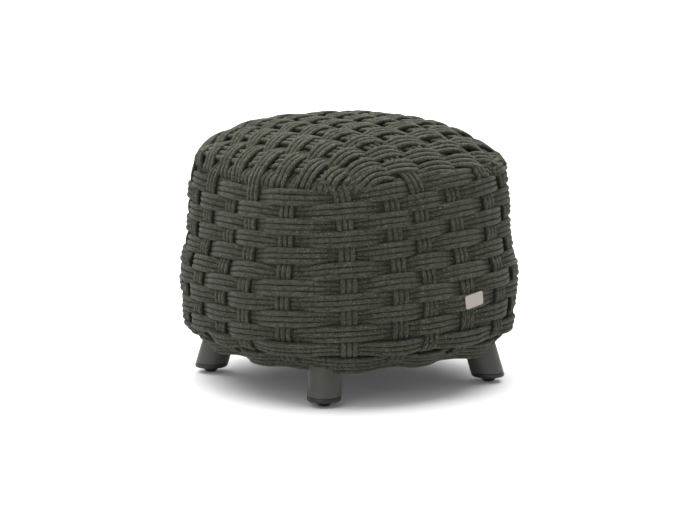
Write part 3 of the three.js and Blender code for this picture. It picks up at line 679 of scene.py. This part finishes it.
def top_path(kind, index, joins):
    """Plan path of a top bundle from rim to rim, shifted smoothly near both ends, so that the bundles
    that run down as uprights meet them."""
    run = np.arange(-RIM_HALF_WIDTH, RIM_HALF_WIDTH, PATH_STEP / FINE_PATH_SHARE)
    side = natural_side(kind, index, run)
    inside = run[square_share(run, side) < 1]
    shift = np.zeros_like(run)
    for end, place in (("low", inside[0]), ("high", inside[-1])):
        near = smoothstep(1 - np.abs(run - place) / JOIN_LENGTH)
        shift += near * end_shift(kind, index, joins[(kind, end)])
    inside = run[square_share(run, side + shift) < 1]
    count = int((inside[-1] - inside[0]) / PATH_STEP)
    places = np.linspace(inside[0], inside[-1], count)
    return places, np.interp(places, run, side + shift)


def hem_points(angle):
    """The rope's turn under the hem: inwards by its run and up by its rise, cut short at the legs."""
    from_corner = np.abs((angle - FRONT_HEADING + QUARTER_TURN / 2) % QUARTER_TURN - QUARTER_TURN / 2)
    steps = HEM_STEPS if from_corner > CORNER_CLEAR else CORNER_HEM_STEPS
    share = np.linspace(0, 1, HEM_STEPS + 1)[1:steps + 1]
    stations = np.linspace(0, 1, len(HEM_RUN))
    run = np.interp(share, stations, HEM_RUN)[:, None]
    rise = np.interp(share, stations, HEM_RISE)[:, None]
    start = wall_at(angle, FLOOR_GAP + ROPE_HEM_RISE)
    out = np.array([math.cos(angle), math.sin(angle), 0.0])
    up = np.array([0, 0, 1.0])
    turn = share[:, None] * math.pi
    return start - out * run + up * rise, unit(out * np.cos(turn) - up * np.sin(turn) * HEM_DOWN_PULL)


def end_leg(place_x, place_y, upright):
    """One end of a bundle from the rim down, as an upright that turns under the hem or in a short dive
    behind the first course: points, normals, distances from the rim, knots, depths there, spread."""
    dives = upright is None
    angle = math.atan2(place_y, place_x) if dives else upright_angle(upright, FLOOR_GAP)
    top = RIM_HEIGHT - rim_drop(place_x, place_y)
    low = FLOOR_GAP + ROPE_HEM_RISE
    if dives:
        low = course_height(1, angle) - DIVE_LENGTH + COURSE_PITCH / 2
        low = min(low, top - DIVE_LENGTH / 2)
    steps = max(LEAST_END_STEPS, int((top - low) / PATH_STEP))
    z = np.linspace(top, low, steps + 1)[1:]
    angles = np.full(len(z), angle) if dives else upright_angle(upright, z)
    points, normals, distance = wall_at(angles, z), normal_at(wall_at, angles, z), top - z
    if dives:
        return points, normals, distance, DIVE_STARTS, DIVE_DEPTHS, DIVE_SPREAD
    knots, depths = [], []
    for course, level in COURSE_LEVELS.items():
        knots.append(top - course_height(course, upright_angle(upright, level)))
        depths.append(UPRIGHT_FRONT if upright_in_front(upright, course) else UPRIGHT_BEHIND)
    knots.append(distance[-1] + HEM_RUN[-1])
    depths.append(UPRIGHT_FRONT)
    hem, hem_normals = hem_points(angle)
    hem_distance = distance[-1] + distances(np.concatenate([points[-1:], hem]))[1:]
    return (np.concatenate([points, hem]), np.concatenate([normals, hem_normals]),
            np.concatenate([distance, hem_distance]), knots, depths, UPRIGHT_SPREAD)


def bundle_parts(kind, index, joins, radius, seed):
    """Ropes of one bundle: down from the low end, over the crown and down from the high end. Depth
    and spread follow the crossings. A bundle that becomes no upright dives behind the top course."""
    places, side = top_path(kind, index, joins)
    if kind == "cross":
        x, y = side, places
        swing = long_drift(side.mean())
        crossings = [(long_y(m) + swing, not long_in_front(m, index)) for m in BUNDLES["long"]]
    else:
        x, y = places, side
        crossings = [(cross_x(b, long_y(index)), long_in_front(index, b)) for b in BUNDLES["cross"]]
    front, behind, flatness, spread_front, spread_behind = BUNDLE_FORMS[kind]
    path = crown_at(x, y)
    run = distances(path)
    end = run[-1]
    crossings = [(at, is_front) for at, is_front in crossings if places[0] < at < places[-1]]
    knots = [np.interp(at, places, run) for at, _ in crossings]
    depths = [front if is_front else behind for _, is_front in crossings]
    pinches = [0.0 if is_front else 1.0 for _, is_front in crossings]

    points, normals, distance, low_knots, low_depths, low_spread = end_leg(
        x[0], y[0], joins[(kind, "low")].get(index))
    path = np.concatenate([points[::-1], path])
    path_normals = np.concatenate([normals[::-1], normal_at(crown_at, x, y)])
    run = np.concatenate([-distance[::-1], run])
    points, normals, distance, high_knots, high_depths, high_spread = end_leg(
        x[-1], y[-1], joins[(kind, "high")].get(index))
    path = softened(np.concatenate([path, points]), POINT_REACH)
    path_normals = unit(softened(np.concatenate([path_normals, normals]), NORMAL_REACH))
    run = np.concatenate([run, end + distance])
    knots = [-d for d in low_knots[::-1]] + knots + [end + d for d in high_knots]
    depth = eased(run, knots, low_depths[::-1] + depths + high_depths, flatness)
    pinch = eased(run, knots, [0.5] * len(low_knots) + pinches + [0.5] * len(high_knots), 1.0)

    on_low = smoothstep((JOIN_LENGTH / 2 - run) / (JOIN_LENGTH / 2))
    on_high = smoothstep((run - end + JOIN_LENGTH / 2) / (JOIN_LENGTH / 2))
    spread = (spread_front + (spread_behind - spread_front) * pinch) * (1 - on_low - on_high)
    spread += on_low * low_spread + on_high * high_spread
    random = np.random.default_rng(seed + SEED_STEP * (1 + index + LONG_EACH_SIDE) + (kind == "cross"))
    drift = wander(random, len(path), False)
    parts = []
    for k in range(ROPES_PER_BUNDLE):
        offset = spread * (k - (ROPES_PER_BUNDLE - 1) / 2) + drift
        parts.append(rope_tube(path, path_normals, depth, offset, radius, False, random))
    if kind == "cross" and index + 1 < len(CROSS_SHARES):
        parts += top_lining_parts(index, radius, random)
    return parts


def top_lining_parts(index, radius, random):
    """Straight ropes under the top, midway between a cross bundle and the next one."""
    y = np.arange(-RIM_HALF_WIDTH, RIM_HALF_WIDTH, PATH_STEP)
    x = (cross_x(index, y) + cross_x(index + 1, y)) / 2
    inside = square_share(x, y) < RIM_LINING_SHARES[-1]
    x, y = x[inside], y[inside]
    points, normals = crown_at(x, y), normal_at(crown_at, x, y)
    return [
        rope_tube(points, normals, TOP_LINING_DEPTH, place, radius, False, random)
        for place in TOP_LINING_PLACES
    ]


# Turned shapes
def revolved(profile, centre, lean, segments):
    """Profile of radius and height turned round an axis that passes the centre at the cap's bottom and
    leans by so much for each metre of height. The first and last points are poles."""
    profile = np.array(profile, float)
    angles = np.linspace(0, 2 * math.pi, segments, endpoint=False)
    ring = stacked(np.cos(angles), np.sin(angles))
    middles = centre + (profile[:, 1:] - CAP_BOTTOM) * lean
    flat = middles[1:-1, None] + profile[1:-1, None, :1] * ring
    heights = profile[1:-1, None, 1:] + np.zeros((segments, 1))
    poles = np.concatenate([middles, profile[:, 1:]], axis=-1)[[0, -1]]
    points = np.concatenate([np.concatenate([flat, heights], axis=-1).reshape(-1, 3), poles])
    row, column, quads, fans = ring_faces(len(flat), segments, False)
    return points, quads, fans, stacked(column / segments, row / (len(flat) - 1)).reshape(-1, 2)


def rounded_corner(r, z, radius, start, end):
    """Quarter round in a profile, its middle at r and z, from one angle to another."""
    angles = np.radians(np.linspace(start, end, ROUND_STEPS + 1))
    return [(r + radius * math.cos(a), z + radius * math.sin(a)) for a in angles]


def cylinder_profile(low, high, low_round, high_round, low_ring):
    """Cylinder of the leg's radius with rounded edges and a ring on each flat end."""
    return [
        (0, low), (low_ring, low),
        *rounded_corner(LEG_RADIUS - low_round, low + low_round, low_round, -90, 0),
        *rounded_corner(LEG_RADIUS - high_round, high - high_round, high_round, 0, 90),
        ((LEG_RADIUS - low_round) / 2, high), (0, high),
    ]


def glide_profile():
    """Domed foot, its rounded upper edge, and a stem whose radius follows a sine as its thread."""
    side = GLIDE_HEIGHT - EDGE_ROUND
    profile = [(0, 0), (GLIDE_FLAT / 2, 0), (GLIDE_FLAT, 0)]
    for a in np.linspace(0, QUARTER_TURN, DOME_STEPS + 1)[1:-1]:
        profile.append((GLIDE_FLAT + (GLIDE_RADIUS - GLIDE_FLAT) * math.sin(a), side * (1 - math.cos(a))))
    profile += rounded_corner(GLIDE_RADIUS - EDGE_ROUND, side, EDGE_ROUND, 0, 90)
    profile.append((STEM_RADIUS + EDGE_ROUND, GLIDE_HEIGHT))
    for z in np.arange(GLIDE_HEIGHT + EDGE_ROUND, STEM_TOP - EDGE_ROUND, THREAD_PITCH / 4):
        thread = THREAD_DEPTH * math.sin(2 * math.pi * z / THREAD_PITCH)
        profile.append((STEM_RADIUS - THREAD_DEPTH + thread, z))
    return profile + [(STEM_RADIUS - EDGE_ROUND, STEM_TOP), (0, STEM_TOP)]


def label_arrays():
    """Thin pillow: rings of a rounded rectangle, drawn in towards back and face. Each point bends in by
    its distance along the label squared over twice the belly's half width."""
    level = COURSE_LEVELS[LABEL_COURSE] + LABEL_RISE
    turn = LABEL_WIDTH / 2 / BELLY_HALF_WIDTH
    headings = [LABEL_HEADING, LABEL_HEADING + turn, LABEL_HEADING - turn]
    heights = [leaned_height(heading, level, 1.0) for heading in headings]
    middle, right, left = [wall_at(heading, z) for heading, z in zip(headings, heights)]
    out = normal_at(wall_at, headings[0], heights[0])
    along = unit(right - left)
    along = along * math.cos(LABEL_TILT) + np.cross(out, along) * math.sin(LABEL_TILT)
    up = np.cross(out, along)
    angles = np.linspace(0, 2 * math.pi, TURN_STEPS, endpoint=False)
    across, upward = square_point(angles, 1, LABEL_CORNER_POWER)
    outline = stacked(across * LABEL_WIDTH / 2, upward * LABEL_HEIGHT / 2)
    half = LABEL_THICKNESS / 2
    rings = []
    for share, rise in LABEL_RINGS:
        flat = outline * share
        lift = LABEL_LIFT + half + half * rise - flat[:, 0] ** 2 / (2 * BELLY_HALF_WIDTH)
        rings.append(middle + lift[:, None] * out + flat[:, :1] * along + flat[:, 1:] * up)
    poles = [middle + out * LABEL_LIFT, middle + out * (LABEL_LIFT + LABEL_THICKNESS)]
    _, _, quads, fans = ring_faces(len(rings), TURN_STEPS, False)
    return np.concatenate([*rings, poles]), quads, fans, np.zeros((4 * len(quads), 2))


# Node helpers
def add_node(tree, kind, feeds=None, **values):
    node = tree.nodes.new(kind)
    for key, value in values.items():
        setattr(node, key, value)
    feed(tree, node, feeds or {})
    return node


def feed(tree, node, feeds):
    """Links each input, by number or name, to its output, or gives it its constant."""
    for key, source in feeds.items():
        if isinstance(source, bpy.types.NodeSocket):
            tree.links.new(source, node.inputs[key])
        else:
            node.inputs[key].default_value = source


def math_node(tree, operation, *numbers):
    return add_node(tree, "ShaderNodeMath", dict(enumerate(numbers)), operation=operation).outputs[0]


def colour_mix(tree, share, dark, light):
    return add_node(tree, "ShaderNodeMix", {0: share, 6: dark, 7: light}, data_type="RGBA").outputs[2]


def ranged(tree, value, low, high):
    """A value from nought to one taken to the range from low to high."""
    return add_node(tree, "ShaderNodeMapRange", {0: value, 3: low, 4: high}).outputs[0]


def stepped(tree, value, *limits):
    """A smooth step between two places of the value, from one tone to another."""
    feeds = dict(enumerate((value, *limits)))
    return add_node(tree, "ShaderNodeMapRange", feeds, interpolation_type="SMOOTHSTEP").outputs[0]


def object_place(tree):
    return add_node(tree, "ShaderNodeTexCoord").outputs["Object"]


def new_group(name, inputs, outputs):
    """Empty group with number sockets of these names, and its input and output nodes."""
    group = bpy.data.node_groups.new(name, "ShaderNodeTree")
    for way, sockets in (("INPUT", inputs), ("OUTPUT", outputs)):
        for socket in sockets:
            group.interface.new_socket(socket, in_out=way, socket_type="NodeSocketFloat")
    return group, add_node(group, "NodeGroupInput"), add_node(group, "NodeGroupOutput")


def braid_group():
    """Round braid: two families of spiral yarns cross, and where the sum of their cell numbers is even
    one lies on top, otherwise the other. Each yarn is a sine ridge, half as high where the other
    family's ridge is nought. Inward goes from nought on the rope's outermost line to one on the
    innermost."""
    group, given, result = new_group("round_braid", ("Strands",), ("Height", "Yarn", "Inward"))
    uv = add_node(group, "ShaderNodeUVMap", uv_map="UVMap")
    split = add_node(group, "ShaderNodeSeparateXYZ", {0: uv.outputs[0]})
    along, around = split.outputs[0], split.outputs[1]
    turns = math_node(group, "MULTIPLY", around, given.outputs["Strands"])
    cells, ridges = [], []
    for operation in ("ADD", "SUBTRACT"):
        place = math_node(group, operation, along, turns)
        cells.append(math_node(group, "FLOOR", place))
        half_wave = math_node(group, "MULTIPLY", math_node(group, "FRACT", place), math.pi)
        ridges.append(math_node(group, "SINE", half_wave))
    parity = math_node(group, "PINGPONG", math_node(group, "ADD", *cells), 1.0)
    heights = []
    for ridge, other in (ridges, ridges[::-1]):
        weight = math_node(group, "ADD", math_node(group, "MULTIPLY", other, 0.5), 0.5)
        heights.append(math_node(group, "MULTIPLY", ridge, weight))
    height = add_node(group, "ShaderNodeMix", {0: parity, 2: heights[0], 3: heights[1]}, data_type="FLOAT")
    cell = add_node(group, "ShaderNodeCombineXYZ", {0: cells[0], 1: cells[1]})
    yarn = add_node(group, "ShaderNodeTexWhiteNoise", {"Vector": cell.outputs[0]}, noise_dimensions="2D")
    from_back = math_node(group, "ABSOLUTE", math_node(group, "SUBTRACT", around, 0.5))
    inward = math_node(group, "MULTIPLY", from_back, 2.0)
    feed(group, result, {"Height": height.outputs[0], "Yarn": yarn.outputs["Value"], "Inward": inward})
    return group


def mottle_group():
    """Two sizes of noise on Object coordinates, one slow and one fine, each from nought to one."""
    group, given, result = new_group("mottle", ("Slow scale", "Fine scale"), ("Slow", "Fine"))
    place = object_place(group)
    for name in ("Slow", "Fine"):
        feeds = {"Vector": place, "Scale": given.outputs[name + " scale"], "Detail": 3}
        noise = add_node(group, "ShaderNodeTexNoise", feeds)
        feed(group, result, {name: noise.outputs["Fac"]})
    return group


def new_material(name):
    material = bpy.data.materials.new(name)
    material.use_nodes = True
    tree = material.node_tree
    return material, tree, tree.nodes["Principled BSDF"]


def bumped(tree, height, distance):
    """Normal of a surface with this relief."""
    return add_node(tree, "ShaderNodeBump", {"Distance": distance, "Height": height}).outputs[0]


def rope_material(braid, mottle, dark, light):
    """Heathered braid: each yarn has its own share of dark and light, with streaks and bright flecks.
    The grooves between yarns and the inner side of the rope are darkened with painted shade, and above
    the rim the rope is paler with painted light from above. Fine noise gives the fuzz."""
    material, tree, shader = new_material("heathered_rope")
    yarns = add_node(tree, "ShaderNodeGroup", {"Strands": BRAID_STRANDS}, node_tree=braid).outputs
    specks = add_node(tree, "ShaderNodeGroup", SPECK_SCALES, node_tree=mottle).outputs
    streaks = add_node(tree, "ShaderNodeGroup", STREAK_SCALES, node_tree=mottle).outputs
    streak = math_node(tree, "MULTIPLY", ranged(tree, streaks["Slow"], *STREAK_RANGE), STREAK_SHARE)
    blend = math_node(tree, "ADD", math_node(tree, "MULTIPLY", yarns["Yarn"], YARN_SHARE), streak)
    heather = colour_mix(tree, blend, (*dark, 1), (*light, 1))
    flecks = math_node(tree, "MULTIPLY", stepped(tree, streaks["Fine"], *FLECK_STEP), FLECK_STRENGTH)
    heather = colour_mix(tree, flecks, heather, FLECK_COLOUR)
    height = add_node(tree, "ShaderNodeSeparateXYZ", {0: object_place(tree)}).outputs[2]
    # painted shade in the grooves between yarns
    tone = ranged(tree, yarns["Height"], *PAINTED_GROOVE_SHADE_TONES)
    for other in (ranged(tree, specks["Slow"], *PATCH_TONES),
                  # painted shade on the rope's inner side
                  stepped(tree, yarns["Inward"], *PAINTED_FURROW_SHADE_STEP),
                  # painted light: paler above the rim
                  stepped(tree, height, *PAINTED_TOP_LIGHT_STEP)):
        tone = math_node(tree, "MULTIPLY", tone, other)
    grey = add_node(tree, "ShaderNodeCombineColor", {0: tone, 1: tone, 2: tone})
    shade = add_node(tree, "ShaderNodeMix", {0: 1, 6: heather, 7: grey.outputs[0]},
                     data_type="RGBA", blend_type="MULTIPLY")
    roughness = ranged(tree, specks["Fine"], *ROPE_ROUGHNESS)
    fuzz = math_node(tree, "MULTIPLY", specks["Fine"], FUZZ_SHARE)
    normal = bumped(tree, math_node(tree, "ADD", yarns["Height"], fuzz), BRAID_BUMP)
    feed(tree, shader, {"Base Color": shade.outputs[2], "Roughness": roughness, "Normal": normal})
    feed(tree, shader, ROPE_SURFACE)
    return material


def coat_material(name, mottle, colour, roughness, metallic=0.0, fine_scale=COAT_FINE_SCALE, depth=COAT_BUMP):
    """Fine-textured coat: slow noise shifts the colour a little, fine noise moves gloss and bump."""
    material, tree, shader = new_material(name)
    scales = {"Slow scale": COAT_SLOW_SCALE, "Fine scale": fine_scale}
    specks = add_node(tree, "ShaderNodeGroup", scales, node_tree=mottle).outputs
    dark = [c * (1 - COAT_TONE_SWING) for c in colour]
    light = [min(1, c * (1 + COAT_TONE_SWING)) for c in colour]
    low, high = roughness - COAT_ROUGHNESS_SWING, roughness + COAT_ROUGHNESS_SWING
    feed(tree, shader, {
        "Base Color": colour_mix(tree, specks["Slow"], (*dark, 1), (*light, 1)),
        "Roughness": ranged(tree, specks["Fine"], low, high),
        "Metallic": metallic,
        "Normal": bumped(tree, specks["Fine"], depth),
    })
    return material


MATERIALS = {}


def materials():
    """The stool's materials, made at the first call."""
    if not MATERIALS:
        stool = bpy.context.scene.stool
        mottle = mottle_group()
        MATERIALS.update(
            rope=rope_material(braid_group(), mottle, stool.rope_dark, stool.rope_light),
            legs=coat_material("leg_powder_coat", mottle, stool.leg_colour, roughness=0.5),
            frame=coat_material("frame_powder_coat", mottle, stool.leg_colour, roughness=0.6),
            caps=coat_material("moulded_cap", mottle, stool.cap_colour, roughness=0.42),
            bolts=coat_material("plain_steel", mottle, BOLT_COLOUR, roughness=0.35, metallic=1.0),
            label=coat_material("bare_label", mottle, stool.label_colour, roughness=0.7,
                                fine_scale=CLOTH_FINE_SCALE, depth=CLOTH_BUMP),
        )
    return MATERIALS


def add_piece(name, parts, look, body, slot, *nodes):
    """Mesh piece of a material and body, in place of the nodes that it replaces. The slot argument is not
    used.
    """
    piece = mesh_object(name, parts, materials()[look])
    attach(piece, body)
    if nodes:
        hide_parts(*nodes)


class STOOL_OT_courses(bpy.types.Operator):
    """Weave the courses that run round the wall"""
    bl_idname = "stool.courses"
    bl_label = "Weave wall courses"

    def execute(self, context):
        stool = context.scene.stool
        for course in range(1, COURSE_COUNT + 1):
            parts = course_parts(course, stool.rope_diameter / 2, stool.unevenness_seed)
            replaced = ["side_weave"] if course == 1 else []
            add_piece("course_%d" % course, parts, "rope", "base", "rope", *replaced)
        return {"FINISHED"}


class STOOL_OT_bundles(bpy.types.Operator):
    """Weave the bundles that cross the top and run down the wall as uprights"""
    bl_idname = "stool.bundles"
    bl_label = "Weave top bundles and uprights"

    def execute(self, context):
        stool = context.scene.stool
        joins = joined_uprights()
        for kind, indexes in BUNDLES.items():
            for number, index in enumerate(indexes, 1):
                parts = bundle_parts(kind, index, joins, stool.rope_diameter / 2, stool.unevenness_seed)
                replaced = ["top_weave"] if (kind, index) == ("long", 0) else []
                add_piece("%s_bundle_%d" % (kind, number), parts, "rope", "base", "rope", *replaced)
        return {"FINISHED"}


class STOOL_OT_legs(bpy.types.Operator):
    """Turn the legs, their caps and their glides"""
    bl_idname = "stool.legs"
    bl_label = "Turn legs, caps and glides"

    def execute(self, context):
        inner_ring = (LEG_RADIUS - EDGE_ROUND) / 2
        leg_profile = cylinder_profile(LEG_BOTTOM, LEG_TOP, EDGE_ROUND, EDGE_ROUND, inner_ring)
        cap_top = LEG_BOTTOM - CAP_SEAM
        cap_profile = cylinder_profile(CAP_BOTTOM, cap_top, CAP_ROUND, EDGE_ROUND / 2, STEM_RADIUS * 2)
        for name, degrees in FOOT_HEADINGS.items():
            heading = math.radians(degrees)
            out = np.array([math.cos(heading), math.sin(heading)])
            centre, lean = out * FOOT_SPREAD, -out * LEG_LEAN_SHARE
            leg = revolved(leg_profile, centre, lean, TURN_STEPS)
            cap = revolved(cap_profile, centre, lean, TURN_STEPS)
            glide = revolved(glide_profile(), centre, 0 * lean, TURN_STEPS // 2)
            add_piece("turned_leg_" + name, [leg], "legs", "base", "legs", "leg_" + name)
            add_piece("moulded_cap_" + name, [cap], "caps", "base", "caps", "leg_cap_" + name)
            add_piece("screw_glide_" + name, [glide], "caps", "glide_" + name, "glides", "glide_" + name)
        return {"FINISHED"}


class STOOL_OT_frame(bpy.types.Operator):
    """Give the inner frame, its plates and its bolts their finishes"""
    bl_idname = "stool.frame"
    bl_label = "Finish inner frame"

    def execute(self, context):
        for name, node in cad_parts.items():
            is_bolt = name.startswith("leg_bolt_")
            if is_bolt or name.startswith(("rib_", "leg_plate_")) or name.endswith(("_ring", "_arch")):
                node.material_slots[0].material = materials()["bolts" if is_bolt else "frame"]
        return {"FINISHED"}


class STOOL_OT_label(bpy.types.Operator):
    """Lay the bare label on the front wall"""
    bl_idname = "stool.label"
    bl_label = "Lay label"

    def execute(self, context):
        add_piece("bare_label", [label_arrays()], "label", "base", "label", "label")
        return {"FINISHED"}


# Stage
def place_camera(scene, aim):
    """Camera that looks at the aim point from the stage's azimuth, elevation and distance."""
    stage = scene.stool_stage
    level = math.cos(stage.view_elevation)
    back = Vector((-math.sin(stage.view_azimuth) * level, -math.cos(stage.view_azimuth) * level,
                   math.sin(stage.view_elevation)))
    data = bpy.data.cameras.new("view")
    for name, value in CAMERA.items():
        setattr(data, name, value)
    camera = add_object("view", data)
    camera.location = aim + back * stage.view_distance
    camera.rotation_euler = (-back).to_track_quat("-Z", "Y").to_euler()
    scene.camera = camera


def lay_floor(scene):
    """Pale floor with a slight glow, which keeps its shadows soft."""
    half = scene.stool_stage.floor_size / 2
    corners = [(-half, -half, 0), (half, -half, 0), (half, half, 0), (-half, half, 0)]
    mesh = bpy.data.meshes.new("floor")
    mesh.from_pydata(corners, [], [(0, 1, 2, 3)])
    material, tree, shader = new_material("pale_floor")
    noise = add_node(tree, "ShaderNodeTexNoise", {"Scale": FLOOR_NOISE_SCALE, "Vector": object_place(tree)})
    tone = colour_mix(tree, noise.outputs["Fac"], *FLOOR_TONES)
    feed(tree, shader, {"Base Color": tone, **FLOOR_SURFACE})
    mesh.materials.append(material)
    add_object("floor", mesh)


def hang_lights(scene, aim):
    """A key light and a broad top light that face the aim point, in an even white surround."""
    for name, place, spread, power in (KEY_LIGHT, TOP_LIGHT):
        light = bpy.data.lights.new(name, "SUN")
        light.angle = spread
        light.energy = power
        lamp = add_object(name, light)
        lamp.location = place
        lamp.rotation_euler = (aim - Vector(place)).to_track_quat("-Z", "Y").to_euler()
    world = bpy.data.worlds.new("studio")
    world.use_nodes = True
    surround = world.node_tree.nodes["Background"]
    surround.inputs[0].default_value = WHITE
    surround.inputs[1].default_value = WORLD_STRENGTH
    scene.world = world
    scene.view_settings.view_transform = "Standard"


class STOOL_OT_stage(bpy.types.Operator):
    """Set the camera, the floor and the lights"""
    bl_idname = "stool.stage"
    bl_label = "Set stage"

    def execute(self, context):
        aim = Vector((0, 0, AIM_HEIGHT))
        place_camera(context.scene, aim)
        lay_floor(context.scene)
        hang_lights(context.scene, aim)
        return {"FINISHED"}


class STOOL_PT_panel(bpy.types.Panel):
    """Footstool steps and sizes"""
    bl_idname = "STOOL_PT_panel"
    bl_label = "Footstool"
    bl_space_type = "VIEW_3D"
    bl_region_type = "UI"
    bl_category = "Footstool"

    def draw(self, context):
        for operator in OPERATORS:
            self.layout.operator(operator.bl_idname)
        for group in (context.scene.stool, context.scene.stool_stage):
            for name in group.__annotations__:
                self.layout.prop(group, name)


OPERATORS = (
    STOOL_OT_stage, STOOL_OT_courses, STOOL_OT_bundles, STOOL_OT_legs, STOOL_OT_frame, STOOL_OT_label,
)
CLASSES = (StoolSettings, StageSettings, *OPERATORS, STOOL_PT_panel)


def register():
    for one in CLASSES:
        bpy.utils.register_class(one)
    bpy.types.Scene.stool = PointerProperty(type=StoolSettings)
    bpy.types.Scene.stool_stage = PointerProperty(type=StageSettings)


def unregister():
    del bpy.types.Scene.stool_stage
    del bpy.types.Scene.stool
    for one in reversed(CLASSES):
        bpy.utils.unregister_class(one)


def main():
    register()
    bpy.ops.stool.stage()
    bpy.ops.stool.courses()
    bpy.ops.stool.bundles()
    bpy.ops.stool.legs()
    bpy.ops.stool.frame()
    bpy.ops.stool.label()


if __name__ == "__main__":
    main()
